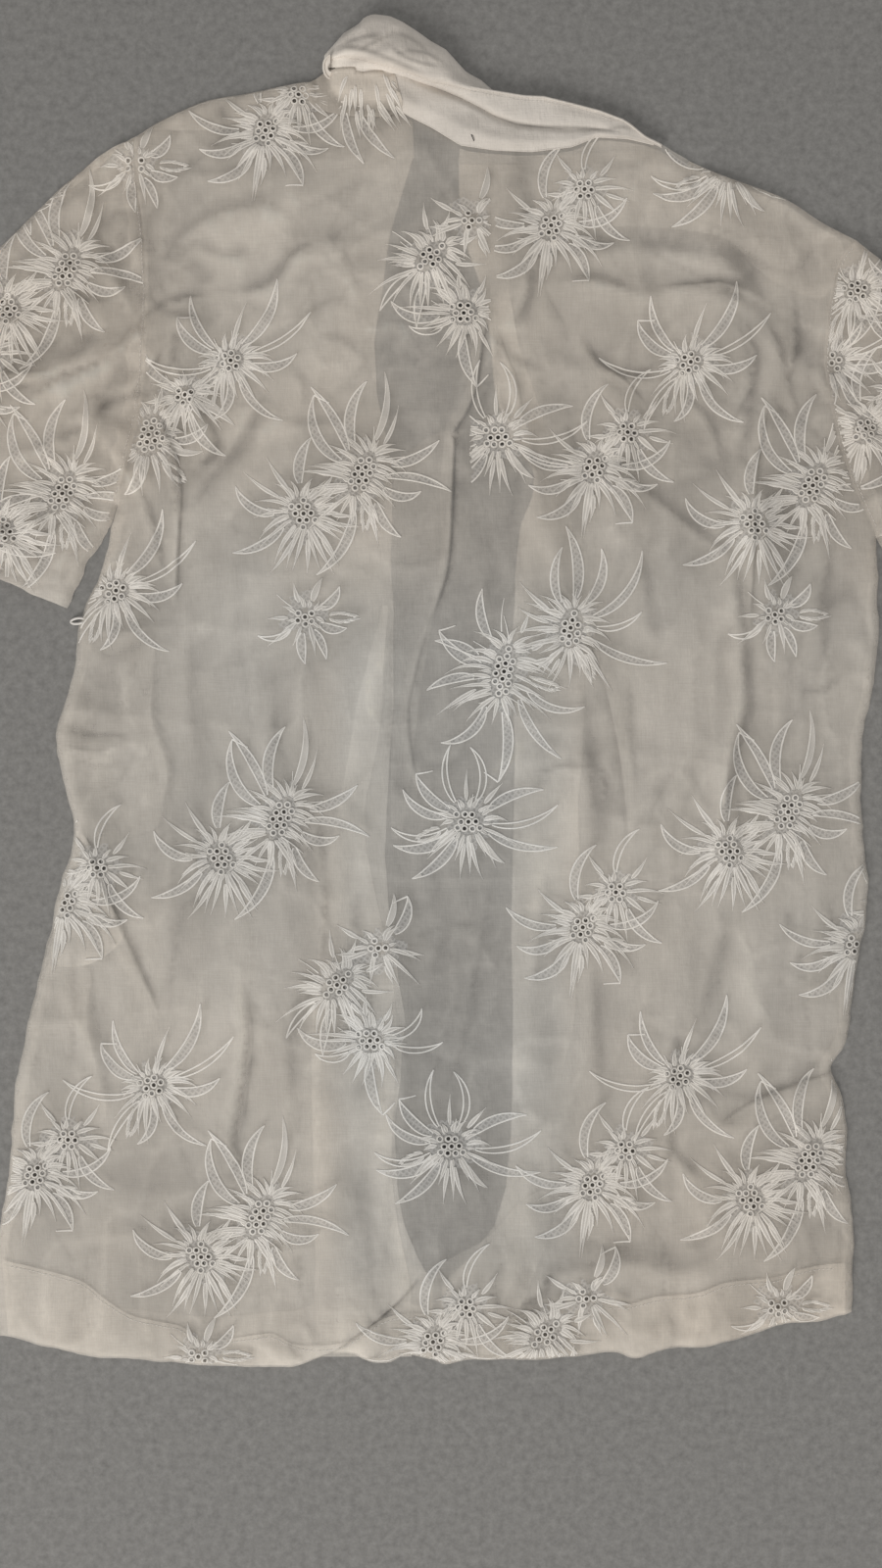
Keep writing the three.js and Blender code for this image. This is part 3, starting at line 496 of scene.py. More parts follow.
def tone(x, y, k=1.0):
    """Lightness of the sheer cloth, mostly painted shade and light: darker along creases, beside folded edges and along
    sunk streaks, lighter on crests and raised streaks, set patches lighter or darker, and random mottling.
    """
    line_shade = np.zeros_like(x)
    # painted shadow: a thin dark line beside each folded edge
    for line, step, wide in EDGES:      # the thin dark line beside a folded edge
        lo, hi = line.min(0) - 6, line.max(0) + 6
        q = np.nonzero((x > lo[0]) & (x < hi[0]) & (y > lo[1]) & (y < hi[1]))[0]
        if len(q):
            d, sd, t = near(x[q], y[q], line)
            total = np.linalg.norm(np.diff(line, axis=0), axis=1).sum()
            d = d * np.where(sd >= 0, 1, -1) + 0.5
            line_shade[q] += (0.10 + 0.24 * min(step, 1.1)) * np.exp(-(d / 1.3) ** 2) * smooth(0, 16, t) * smooth(0, 16, total - t)
    lean = smooth(60, -60, x) * smooth(-60, 60, y)
    a = fbm((x + 0.8 * y) / 90, (y - 0.8 * x) / 36, 201, 3)
    b = fbm(x / 30, y / 105, 205, 3)
    patch = lean * a + (1 - lean) * b
    for middle, half, light in PLACES_LIGHT:
        (cx, cy), (hx, hy) = mm(*middle), (0.6 * half[0], 0.6 * half[1])
        line_shade = line_shade - light * np.exp(-((x - cx) / hx) ** 2 - ((y - cy) / hy) ** 2)
    # darker inside the gap between the fronts, more so towards the hem
    gap_in = smooth(-2, 4, x - front_x(y, 1)) * smooth(2, -4, x - front_x(y, 2))
    line_shade = line_shade + gap_in * (0.02 + 0.12 * smooth(-60, -200, y))
    # painted shade in creases and sunk streaks, painted light on crests and raised streaks, lighter towards the top,
    # and random patches and mottling
    return 1 - k * (-0.03 - 0.05 * smooth(60, 240, y) + line_shade + (0.40 + 0.08 * smooth(40, 120, y)) * creased(x, y)
                    + (0.15 + 0.06 * smooth(40, 120, y)) * streaks(x, y, 301) - 0.11 * streaks(x, y, 401) - 0.17 * patch
                    - 0.05 * fbm(x / 13, y / 16, 209, 2))


def height(x, y):
    """Upper surface of the back and of the sleeves' upper layers."""
    x, y = np.asarray(x, float), np.asarray(y, float)
    h = np.zeros_like(x)
    for line, top_h, a, b in RIDGES:
        lo, hi = line.min(0) - 45, line.max(0) + 45
        k = np.nonzero((x > lo[0]) & (x < hi[0]) & (y > lo[1]) & (y < hi[1]))[0]
        if not len(k):
            continue
        d, s, t = near(x[k], y[k], line)
        total = np.linalg.norm(np.diff(line, axis=0), axis=1).sum()
        fade = smooth(0, 0.3 * total, t) * smooth(0, 0.3 * total, total - t)
        wob = 1 + 0.22 * vnoise(x[k] / 24, y[k] / 24, 61)
        w = np.where(s > 0, a, b) * wob
        h[k] += 1.35 * top_h * (0.25 + 0.75 * fade) * np.exp(-(d / w) ** 2) * np.where(fade > 0, 1, np.exp(-(d / w) ** 2))
    for line, step, wide in EDGES:
        lo, hi = line.min(0) - 35, line.max(0) + 35
        k = np.nonzero((x > lo[0]) & (x < hi[0]) & (y > lo[1]) & (y < hi[1]))[0]
        if not len(k):
            continue
        d, s, t = near(x[k], y[k], line)
        total = np.linalg.norm(np.diff(line, axis=0), axis=1).sum()
        fade = smooth(0, 26, t) * smooth(0, 26, total - t)
        sd = d * np.where(s >= 0, 1, -1)
        up = smooth(-0.45, 0.45, sd) * np.exp(-(np.maximum(sd, 0) / wide) ** 2)
        dip = 0.25 * np.exp(-((sd + 1.6) / 2.6) ** 2)
        ends = (t > 0.01) & (t < total - 0.01)
        h[k] += 1.3 * step * fade * np.where(ends, up - dip, 0)
    # broad swell, vertical folds and small creases
    h += 1.3 * (1 + fbm(x / 70, y / 95, 11, 3))
    right = smooth(0, 90, x)
    h += (0.7 + 1.0 * right) * ridged(x / 34 + 0.4 * vnoise(x / 60, y / 60, 21), y / 130, 14, 2)
    h += 1.1 * ridged((x + 0.35 * y) / 26, (y - 0.3 * x) / 55, 17, 2) * smooth(-0.2, 0.5, fbm(x / 90, y / 90, 19, 2))
    h += 0.9 * ridged((x - 0.6 * y) / 24, (y + 0.5 * x) / 60, 27, 2) * smooth(-0.1, 0.5, fbm(x / 70, y / 70, 29, 2))
    wx, wy = 14 * vnoise(x / 52, y / 52, 101), 14 * vnoise(x / 52, y / 52, 103)
    soft = smooth(-0.5, 0.6, fbm(x / 110, y / 110, 105, 2))
    h += (0.35 + 1.15 * soft) * (1 - np.abs(vnoise((x + wx) / 44, (y + wy) / 60, 107))) ** 7
    h += (0.25 + 0.9 * (1 - soft)) * (1 - np.abs(vnoise((x - wy) / 33, (y + wx) / 47, 109))) ** 6
    h += 0.7 * (1 - np.abs(vnoise((x + wy) / 62, (y - wx) / 30, 111))) ** 8
    h += 0.16 * fbm(x / 7, y / 12, 31, 2)
    h += crumples(x, y)
    sleeve = smooth(195, 225, np.abs(x + 1)) * smooth(20, 70, y)
    h += sleeve * (1.6 * (1 + fbm(x / 48, y / 40, 35, 3)) * 0.6 + 1.1 * ridged((x + y) / 32, (x - y) / 50, 37, 2))
    h += 0.75 * streaks(x, y, 401) - 0.6 * streaks(x, y, 301) - 1.7 * creased(x, y)
    # stitching draws the cloth up round each head
    if HEADS:
        H = np.array(HEADS)
        for hx, hy, hr in H:
            k = np.nonzero((np.abs(x - hx) < 34) & (np.abs(y - hy) < 34))[0]
            if len(k):
                dx, dy = x[k] - hx, y[k] - hy
                d = np.hypot(dx, dy)
                a = np.arctan2(dy, dx)
                w = np.exp(-(d / (hr + 15)) ** 2)
                h[k] += w * (0.32 * vnoise(a * 3.4 + hx, d / 16, 51) * smooth(2, 9, d) + 0.22)
    neck = smooth(1, 26, neck_y(x) - y) if len(x) else 1
    h = h * np.where((x > -112) & (x < 124), 0.15 + 0.85 * neck, 1.0)
    z = base_height(x, y) + h
    floor_z = front_height(x, y) + 0.5
    z = floor_z + np.where(z > floor_z, z - floor_z, 0.0)
    # turn down to meet the under layer at every free edge
    e = np.full_like(x, 1e9)
    for line in FREE:
        lo, hi = line.min(0) - 12, line.max(0) + 12
        k = np.nonzero((x > lo[0]) & (x < hi[0]) & (y > lo[1]) & (y < hi[1]))[0]
        if len(k):
            e[k] = np.minimum(e[k], near(x[k], y[k], line)[0])
    k = np.minimum(e / ROLL, 1.0)
    k = np.sqrt(np.maximum(0, 1 - (1 - k) ** 2))
    low = front_height(x, y) + 0.12
    return low + (z - low) * k


def neck_y(x):
    return np.interp(x, TOP[:, 0], TOP[:, 1])


# ------------------------------------------------------------------ mesh making
def warmth(x, y):
    """Where the cloth looks warmer (over 0), as where more of it lies doubled, or cooler."""
    w = 0.9 * smooth(40, 170, y) + 0.45 * smooth(180, 230, np.abs(x)) * smooth(0, 90, y)
    w += 0.75 * smooth(-170, -300, y) * smooth(20, 100, x) + 0.1 * smooth(-300, -390, y)
    w -= 0.75 * np.exp(-((x + 150) / 60) ** 2 - ((y - 10) / 130) ** 2)
    w -= 1.1 * smooth(-108, -84, x) * smooth(60, 26, x) * smooth(110, 20, y) * smooth(-395, -330, y)
    return w + 0.45 * fbm(x / 75, y / 75, 251, 2)


def place(name, verts, faces, material, smooth_shade=True, second=None, which=None, shade=None):
    me = bpy.data.meshes.new(name)
    v = np.asarray(verts, float) * 0.001
    me.from_pydata([tuple(p) for p in v], [], [tuple(int(i) for i in f) for f in faces])
    me.polygons.foreach_set("use_smooth", np.full(len(me.polygons), smooth_shade))
    me.materials.append(material)
    if second is not None:
        me.materials.append(second)
        me.polygons.foreach_set("material_index", np.asarray(which, np.int32))
    # the vertex's painted shade and light, tinted by its warmth, go into the shade attribute
    light = np.full(len(v), 1.0) if shade is None else np.asarray(shade, float)
    warm = np.clip(warmth(1000 * v[:, 0], 1000 * v[:, 1]), -1.6, 1.8)
    at = me.attributes.new("shade", "FLOAT_COLOR", "POINT")
    rgba = np.stack([light * (1.004 + 0.016 * warm), light * (0.996 - 0.008 * warm), light * (1.002 - 0.032 * warm), light * 0 + 1], 1)
    at.data.foreach_set("color", np.clip(rgba, 0, 1.3).astype(np.float32).ravel())
    me.update()
    ob = bpy.data.objects.new(name, me)
    bpy.context.scene.collection.objects.link(ob)
    return ob


def hollows(verts, faces, rounds=(3, 14), gains=(0.135, 0.06)):
    """Painted shade and light from the shape itself: darker in its hollows, lighter on its ridges."""
    f = np.asarray(faces)
    a = np.concatenate([f[:, 0], f[:, 1], f[:, 2]])
    b = np.concatenate([f[:, 1], f[:, 2], f[:, 0]])
    n = len(verts)
    count = np.bincount(a, minlength=n) + np.bincount(b, minlength=n)
    z = verts[:, 2].copy()
    out, done = np.zeros(n), 0
    for stop, gain in zip(rounds, gains):
        while done < stop:
            z = (np.bincount(a, z[b], n) + np.bincount(b, z[a], n)) / np.maximum(count, 1)
            done += 1
        out += np.clip(gain * (verts[:, 2] - z), -0.16, 0.10)
    return out


def triangulate(outline, step, holes=(), lines=(), seed=5):
    """Plan mesh of an outline: even points, rings round the holes, and rows beside the folded edges."""
    lo, hi = outline.min(0), outline.max(0)
    rows = np.arange(lo[1], hi[1], step * 0.866)
    g = []
    for i, yr in enumerate(rows):
        xs = np.arange(lo[0] + (i % 2) * step / 2, hi[0], step)
        g.append(np.stack([xs, np.full_like(xs, yr)], 1))
    g = np.vstack(g)
    g += np.random.default_rng(seed).uniform(-0.12, 0.12, g.shape) * step
    closed = np.vstack([outline, outline[:1]])
    ok = inside(g[:, 0], g[:, 1], outline)
    g = g[ok]
    g = g[near(g[:, 0], g[:, 1], closed)[0] > 0.55 * step]
    extra = []
    for line in lines:
        d = np.gradient(line, axis=0)
        d /= np.linalg.norm(d, axis=1)[:, None]
        n = np.stack([-d[:, 1], d[:, 0]], 1)
        g = g[near(g[:, 0], g[:, 1], line)[0] > 0.75 * step]
        for off in (-1.6, -0.5, 0.5, 1.7):
            q = line + n * off
            q = q[inside(q[:, 0], q[:, 1], outline)]
            if len(q):
                q = q[near(q[:, 0], q[:, 1], closed)[0] > 0.8]
            extra.append(q)
    holes = np.array(holes, float).reshape(-1, 2)
    ring = []
    if len(holes):
        cell = {}
        keep = np.ones(len(g), bool)
        for c in holes:
            k = (np.abs(g[:, 0] - c[0]) < RING) & (np.abs(g[:, 1] - c[1]) < RING)
            keep &= ~k
        g = g[keep]
        e2 = []
        for q in extra:
            k = np.ones(len(q), bool)
            for c in holes:
                k &= np.hypot(q[:, 0] - c[0], q[:, 1] - c[1]) > 1.8
            e2.append(q[k])
        extra = e2
        a = np.arange(8) * math.pi / 4
        for c in holes:
            ring.append(np.stack([c[0] + EYELET * np.cos(a), c[1] + EYELET * np.sin(a)], 1))
    n_out = len(outline)
    stack = [outline] + ring + extra + [g]
    p = np.vstack([s for s in stack if len(s)])
    ring_id = np.full(len(p), -1)
    edges = [(i, (i + 1) % n_out) for i in range(n_out)]
    k = n_out
    for j, r in enumerate(ring):
        ring_id[k:k + 8] = j
        edges += [(k + i, k + (i + 1) % 8) for i in range(8)]
        k += 8
    out = delaunay_2d_cdt([Vector(q) for q in p.tolist()], edges, [], 0, 1e-5, True)
    v = np.array([tuple(q) for q in out[0]])
    f = np.array([t for t in out[2] if len(t) == 3])
    rid = np.full(len(v), -1)
    for i, o in enumerate(out[3]):
        if len(o):
            rid[i] = ring_id[o[0]]
    c = v[f].mean(1)
    keep = inside(c[:, 0], c[:, 1], outline)
    r = rid[f]
    keep &= ~((r[:, 0] >= 0) & (r[:, 0] == r[:, 1]) & (r[:, 1] == r[:, 2]))
    f = f[keep]
    a, b, d = v[f[:, 0]], v[f[:, 1]], v[f[:, 2]]
    area = (b[:, 0] - a[:, 0]) * (d[:, 1] - a[:, 1]) - (b[:, 1] - a[:, 1]) * (d[:, 0] - a[:, 0])
    f = f[np.abs(area) > 1e-6]
    area = area[np.abs(area) > 1e-6]
    f[area < 0] = f[area < 0][:, ::-1]
    used = np.unique(f)
    back = np.full(len(v), -1)
    back[used] = np.arange(len(used))
    return v[used], back[f]


def ribbon(line, a, b, zfun, rows=3):
    """Strip beside a line, from offset a to offset b, numbers or one for each point."""
    d = np.gradient(line, axis=0)
    d /= np.linalg.norm(d, axis=1)[:, None] + 1e-9
    n = np.stack([-d[:, 1], d[:, 0]], 1)
    a = np.broadcast_to(a, len(line))
    b = np.broadcast_to(b, len(line))
    v, f = [], []
    for j in range(rows + 1):
        k = j / rows
        v.append(line + n * (a * (1 - k) + b * k)[:, None])
    v = np.vstack(v)
    L = len(line)
    for j in range(rows):
        for i in range(L - 1):
            q = [j * L + i, j * L + i + 1, (j + 1) * L + i + 1, (j + 1) * L + i]
            f.append(q)
    z = zfun(v[:, 0], v[:, 1])
    return np.column_stack([v, z]), f


def area_of(ob):
    return sum(p.area for p in ob.data.polygons)


class Bag:
    """Verts and faces of many small things that make one mesh."""

    def __init__(self):
        self.v, self.f, self.w, self.n = [], [], [], 0

    def add(self, v, f, w=()):
        self.w += list(w)
        self.v.append(np.asarray(v, float))
        self.f.append(np.asarray(f, int) + self.n)
        self.n += len(v)

    def arrays(self):
        faces = []
        for f in self.f:
            faces += f.tolist()
        return np.vstack(self.v), faces


# ------------------------------------------------------------------ materials
def nodes_of(name):
    m = bpy.data.materials.new(name)
    m.use_nodes = True
    nt = m.node_tree
    nt.nodes.clear()
    out = nt.nodes.new("ShaderNodeOutputMaterial")
    b = nt.nodes.new("ShaderNodeBsdfPrincipled")
    nt.links.new(b.outputs["BSDF"], out.inputs["Surface"])
    return m, nt, b


def link(nt, a, b):
    nt.links.new(a, b)


def noise(nt, coord, scale, stretch=(1, 1, 1), detail=3.0, rough=0.55):
    mp = nt.nodes.new("ShaderNodeMapping")
    mp.inputs["Scale"].default_value = stretch
    link(nt, coord, mp.inputs["Vector"])
    n = nt.nodes.new("ShaderNodeTexNoise")
    n.inputs["Scale"].default_value = scale
    n.inputs["Detail"].default_value = detail
    n.inputs["Roughness"].default_value = rough
    link(nt, mp.outputs["Vector"], n.inputs["Vector"])
    return n.outputs["Fac"]


def math_node(nt, op, a, b=None, value=None):
    n = nt.nodes.new("ShaderNodeMath")
    n.operation = op
    link(nt, a, n.inputs[0])
    if b is not None:
        link(nt, b, n.inputs[1])
    elif value is not None:
        n.inputs[1].default_value = value
    return n.outputs[0]


def ramp(nt, fac, lo, hi, c0, c1):
    r = nt.nodes.new("ShaderNodeValToRGB")
    r.color_ramp.elements[0].position = lo
    r.color_ramp.elements[1].position = hi
    r.color_ramp.elements[0].color = (*c0, 1)
    r.color_ramp.elements[1].color = (*c1, 1)
    link(nt, fac, r.inputs["Fac"])
    return r.outputs["Color"]


def shaded(nt, colour, b):
    """Base colour times the painted shade and light, and the warmth, that each vertex carries."""
    at = nt.nodes.new("ShaderNodeAttribute")
    at.attribute_name = "shade"
    m = nt.nodes.new("ShaderNodeMix")
    m.data_type = "RGBA"
    m.blend_type = "MULTIPLY"
    m.inputs["Factor"].default_value = 1.0
    link(nt, colour, m.inputs["A"])
    link(nt, at.outputs["Color"], m.inputs["B"])
    link(nt, m.outputs["Result"], b.inputs["Base Color"])


def cloth(name, colour, alpha, rough=0.86, sheen=0.25, weave=1.0, bump=0.5):
    """Sheer plain weave: uneven threads both ways, faint mottling, and fine crinkles."""
    m, nt, b = nodes_of(name)
    co = nt.nodes.new("ShaderNodeTexCoord").outputs["Object"]
    warp = noise(nt, co, 260, (6.0, 0.35, 1), 3.0)
    weft = noise(nt, co, 260, (0.35, 6.0, 1), 3.0)
    blot = noise(nt, co, 22, (1.4, 0.7, 1), 3.0)
    threads = math_node(nt, "ADD", warp, weft)
    mix = math_node(nt, "MULTIPLY", threads, value=0.5)
    dark = tuple(c * (1 - 0.10 * weave) for c in colour)
    light = tuple(min(1, c * (1 + 0.05 * weave)) for c in colour)
    base = ramp(nt, mix, 0.36, 0.64, dark, light)
    tint = ramp(nt, blot, 0.3, 0.7, (0.955, 0.95, 0.94), (1.0, 1.0, 1.0))
    mul = nt.nodes.new("ShaderNodeMix")
    mul.data_type = "RGBA"
    mul.blend_type = "MULTIPLY"
    mul.inputs["Factor"].default_value = 1.0
    link(nt, base, mul.inputs["A"])
    link(nt, tint, mul.inputs["B"])
    shaded(nt, mul.outputs["Result"], b)
    crinkle = noise(nt, co, 190, (1.3, 0.5, 1), 4.0, 0.6)
    high = math_node(nt, "MULTIPLY", crinkle, value=3.0)
    total = math_node(nt, "ADD", high, threads)
    bp = nt.nodes.new("ShaderNodeBump")
    bp.inputs["Strength"].default_value = bump
    bp.inputs["Distance"].default_value = 0.0004
    link(nt, total, bp.inputs["Height"])
    link(nt, bp.outputs["Normal"], b.inputs["Normal"])
    b.inputs["Roughness"].default_value = rough
    b.inputs["Sheen Weight"].default_value = sheen
    b.inputs["Sheen Roughness"].default_value = 0.5
    b.inputs["Specular IOR Level"].default_value = 0.2
    b.inputs["Alpha"].default_value = alpha
    return m


def thread(name, colour, rough=0.55, alpha=1.0, sheen=0.35):
    """Satin stitch: fine ribs of thread, a little glossy."""
    m, nt, b = nodes_of(name)
    co = nt.nodes.new("ShaderNodeTexCoord").outputs["Object"]
    fine = noise(nt, co, 1500, (1, 1, 1), 2.0)
    broad = noise(nt, co, 130, (1, 1, 1), 2.0)
    c = ramp(nt, fine, 0.3, 0.7, tuple(k * 0.86 for k in colour), colour)
    t = ramp(nt, broad, 0.3, 0.7, (0.95, 0.945, 0.93), (1, 1, 1))
    mul = nt.nodes.new("ShaderNodeMix")
    mul.data_type = "RGBA"
    mul.blend_type = "MULTIPLY"
    mul.inputs["Factor"].default_value = 1.0
    link(nt, c, mul.inputs["A"])
    link(nt, t, mul.inputs["B"])
    shaded(nt, mul.outputs["Result"], b)
    bp = nt.nodes.new("ShaderNodeBump")
    bp.inputs["Strength"].default_value = 0.5
    bp.inputs["Distance"].default_value = 0.00025
    link(nt, fine, bp.inputs["Height"])
    link(nt, bp.outputs["Normal"], b.inputs["Normal"])
    b.inputs["Roughness"].default_value = rough
    b.inputs["Sheen Weight"].default_value = sheen
    b.inputs["Specular IOR Level"].default_value = 0.35
    b.inputs["Alpha"].default_value = alpha
    return m


def netting(name, colour, rough=0.7, alpha=1.0):
    """Pulled-thread filling: a fine slanting mesh."""
    m, nt, b = nodes_of(name)
    co = nt.nodes.new("ShaderNodeTexCoord").outputs["Object"]
    lines = []
    for turn in (0.62, -0.95):
        mp = nt.nodes.new("ShaderNodeMapping")
        mp.inputs["Rotation"].default_value = (0, 0, turn)
        link(nt, co, mp.inputs["Vector"])
        w = nt.nodes.new("ShaderNodeTexWave")
        w.inputs["Scale"].default_value = 118.0
        w.inputs["Distortion"].default_value = 0.7
        w.inputs["Detail"].default_value = 1.0
        link(nt, mp.outputs["Vector"], w.inputs["Vector"])
        lines.append(w.outputs["Fac"])
    mesh = math_node(nt, "MAXIMUM", lines[0], lines[1])
    c = ramp(nt, mesh, 0.45, 0.95, tuple(k * 0.66 for k in colour), colour)
    shaded(nt, c, b)
    bp = nt.nodes.new("ShaderNodeBump")
    bp.inputs["Strength"].default_value = 0.6
    bp.inputs["Distance"].default_value = 0.0003
    link(nt, mesh, bp.inputs["Height"])
    link(nt, bp.outputs["Normal"], b.inputs["Normal"])
    b.inputs["Roughness"].default_value = rough
    b.inputs["Sheen Weight"].default_value = 0.3
    b.inputs["Specular IOR Level"].default_value = 0.3
    b.inputs["Alpha"].default_value = alpha
    return m


WHITE = (0.87, 0.828, 0.757)
M_BACK = cloth("batiste_back", WHITE, ALPHA_BACK)
M_FRONT = cloth("batiste_front", WHITE, ALPHA_FRONT)
M_FACING = cloth("batiste_facing", WHITE, ALPHA_FACING)
M_HEM = cloth("batiste_hem", (0.80, 0.76, 0.69), ALPHA_HEM)
M_UNDER = cloth("batiste_fold", WHITE, 0.16)
M_DOUBLE = cloth("batiste_doubled", WHITE, 0.30)
# a darker copy of the white batiste: painted shade on the cloth drawn up over the collar
M_OVER_SHADED = cloth("batiste_drawn_up_shaded", (0.63, 0.59, 0.53), 0.94)
M_TUCK = cloth("batiste_tucked", WHITE, 0.62)
M_COLLAR = cloth("collar_batiste", (0.82, 0.786, 0.733), ALPHA_COLLAR, weave=0.6, bump=0.7)
M_THREAD = thread("embroidery_cotton", (0.92, 0.895, 0.845))
# a darker copy of the same white thread, for the flat satin between raised cords and round the eyelet rings: painted
# shade
M_SATIN_SHADED = thread("embroidery_satin_shaded", (0.67, 0.645, 0.60), rough=0.6)
M_SHADE = thread("eyelet_shade", (0.05, 0.045, 0.04), rough=0.9, alpha=0.55, sheen=0.0)
M_NET = netting("embroidery_net", (0.88, 0.865, 0.83), rough=0.7, alpha=ALPHA_NET)
M_STITCH = thread("seam_thread", (0.86, 0.84, 0.80), rough=0.7)
M_DARK = thread("loose_dark_thread", (0.05, 0.045, 0.045), rough=0.7)

# ------------------------------------------------------------------ embroidery motifs, mm about the main head
# heads: x, y, half length, half width, turn of the eyelet cluster, eyelets, rays, shortest and longest ray
# long: how many long petals each head gets, their shortest and longest; tufts: small hatched buds
MOTIFS = {
    "D": dict(heads=[(0, 0, 12, 5, 65, 13, 30, 12, 22), (-36, -24, 8, 6.5, 120, 11, 26, 11, 21)], long=((14, 12), 17, 46), tufts=1),
    "P": dict(heads=[(0, 0, 9.5, 5, 42, 9, 26, 11, 18), (25, 22, 5, 4, 0, 5, 10, 11, 18), (20, -34, 6.5, 6, 0, 10, 24, 10, 17)],
              long=((9, 6, 9), 14, 31), tufts=0),
    "Q": dict(heads=[(0, 0, 8, 5.5, 70, 10, 28, 11, 20), (20, 21, 5, 5, 0, 7, 12, 10, 15)], long=((11, 7), 14, 35), tufts=1),
    "T": dict(heads=[(0, 0, 6.5, 5, 20, 9, 24, 9, 15)], long=((10,), 15, 44), tufts=1),
    "S": dict(heads=[(0, 0, 7, 6.5, 0, 10, 16, 9, 14)], long=((15,), 15, 40), tufts=1),
    "E": dict(heads=[(0, 0, 10, 5.5, 80, 11, 26, 10, 19), (-41, -26, 14, 5.5, 78, 16, 26, 12, 22)], long=((13, 14), 16, 48), tufts=2),
    "A": dict(heads=[(0, 0, 11, 7.5, 75, 17, 24, 9, 16), (21, 25, 5, 4, 20, 6, 22, 10, 16)], long=((9, 5), 16, 32), tufts=1),
    "B": dict(heads=[(0, 0, 5, 4, 30, 6, 8, 8, 12)], long=((9,), 13, 20), tufts=1),
}


def long_petals(seed, heads, count, shortest, longest):
    """Long petals spread unevenly round each head by rule, most of them sweeping up the shirt."""
    rng, out = np.random.default_rng(seed), []
    for k, (hx, hy, la, lb, turn, n, nray, r0, r1) in enumerate(heads):
        start = rng.uniform(0, 360)
        for i in range(count[k]):
            d = start + 360 / count[k] * (i + rng.uniform(-0.36, 0.36))
            c, s = math.cos(math.radians(d)), math.sin(math.radians(d))
            crowded = any((h[0] - hx) * c + (h[1] - hy) * s > 0.75 * math.hypot(h[0] - hx, h[1] - hy)
                          for q, h in enumerate(heads) if q != k)
            root = math.hypot(la * math.cos(math.radians(d - turn)), lb * math.sin(math.radians(d - turn)))
            root += 0.30 * (r0 + r1) * rng.uniform(0.85, 1.15)
            kind = rng.choice(["net", "ray", "pair", "hook", "leaf", "line"], p=[0.50, 0.26, 0.11, 0.05, 0.05, 0.03])
            if crowded:
                kind = "ray"
            far = 0.62 if kind in ("ray", "line") else 1.0
            length = shortest * 0.9 if crowded else shortest + (longest * far - shortest) * rng.uniform(0.15, 1.0)
            sweep = rng.uniform(26, 64) if kind not in ("ray", "line") else rng.uniform(5, 24)
            bend = sweep * (1 if c > 0 else -1) * (1 if rng.random() < 0.8 else -0.5)
            wide = {"net": rng.uniform(3.7, 5.4), "pair": rng.uniform(2.7, 3.4), "ray": rng.uniform(2.4, 3.5),
                    "hook": 5.0, "leaf": 4.2, "line": 1.1}[str(kind)]
            out.append((hx + root * c, hy + root * s, d + rng.uniform(-10, 10), length, bend, wide, str(kind)))
    return out


def tufts(seed, heads, count):
    """Small hatched buds beside a head."""
    rng, out = np.random.default_rng(seed), []
    for i in range(count):
        hx, hy, la, lb = heads[i % len(heads)][:4]
        d = rng.uniform(180, 360)
        r = 0.5 * (la + lb) + rng.uniform(8, 13)
        out.append((hx + r * math.cos(math.radians(d)), hy + r * math.sin(math.radians(d)), d + rng.uniform(-25, 25), rng.uniform(12, 15)))
    return out


for number, flower in enumerate(MOTIFS.values()):
    flower["petals"] = long_petals(4100 + number, flower["heads"], *flower["long"])
    flower["buds"] = tufts(4200 + number, flower["heads"], flower["tufts"])
# places: kind, px of the main head, panel it is stitched on
PLACES = [
    ("D", 370, 485, "back"), ("D", 827, 497, "back"), ("D", 287, 835, "back"), ("D", 802, 828, "back"),
    ("D", 266, 1240, "back"), ("D", 824, 1182, "back"), ("E", 582, 642, "back"),
    ("P", 440, 264, "back_left"), ("P", 345, 1003, "back"),
    ("Q", 562, 232, "back_right"), ("Q", 606, 478, "back"), ("Q", 594, 945, "back"), ("Q", 604, 1207, "back"),
    ("A", 155, 447, "back"), ("Q", 68, 920, "back"), ("Q", 38, 1196, "back"),
    ("S", 478, 838, "back"), ("S", 461, 1168, "back"), ("S", 508, 448, "back_pleat"),
    ("T", 236, 370, "back"), ("T", 703, 372, "back"), ("T", 158, 1106, "back"), ("T", 693, 1097, "back"),
    ("B", 312, 630, "back"), ("B", 789, 628, "back"), ("B", 204, 1381, "back"), ("B", 792, 1330, "back"),
    ("Q", 272, 136, "back"), ("B", 140, 172, "back"), ("S", 742, 176, "back"),
    ("T", 120, 604, "back"), ("Q", 872, 962, "back"), ("Q", 442, 1366, "back"), ("P", 556, 1358, "back"),
    ("T", 847, 372, "sleeve_right"),
    ("D", 70, 278, "sleeve_left"), ("D", 66, 505, "sleeve_left"), ("T", 872, 300, "sleeve_right"),
    ("Q", 880, 440, "sleeve_right"), ("D", 1000, 420, "sleeve_right"), ("B", 930, 545, "sleeve_right"),
    ("B", 1060, 520, "sleeve_right"), ("S", 950, 300, "sleeve_right"),
    ("Q", -40, 400, "sleeve_left"), ("B", -110, 420, "sleeve_left"), ("S", -30, 540, "sleeve_left"),
    ("B", 12, 200, "sleeve_left"), ("B", 140, 172, "sleeve_left"), ("T", -90, 470, "sleeve_left"),
]

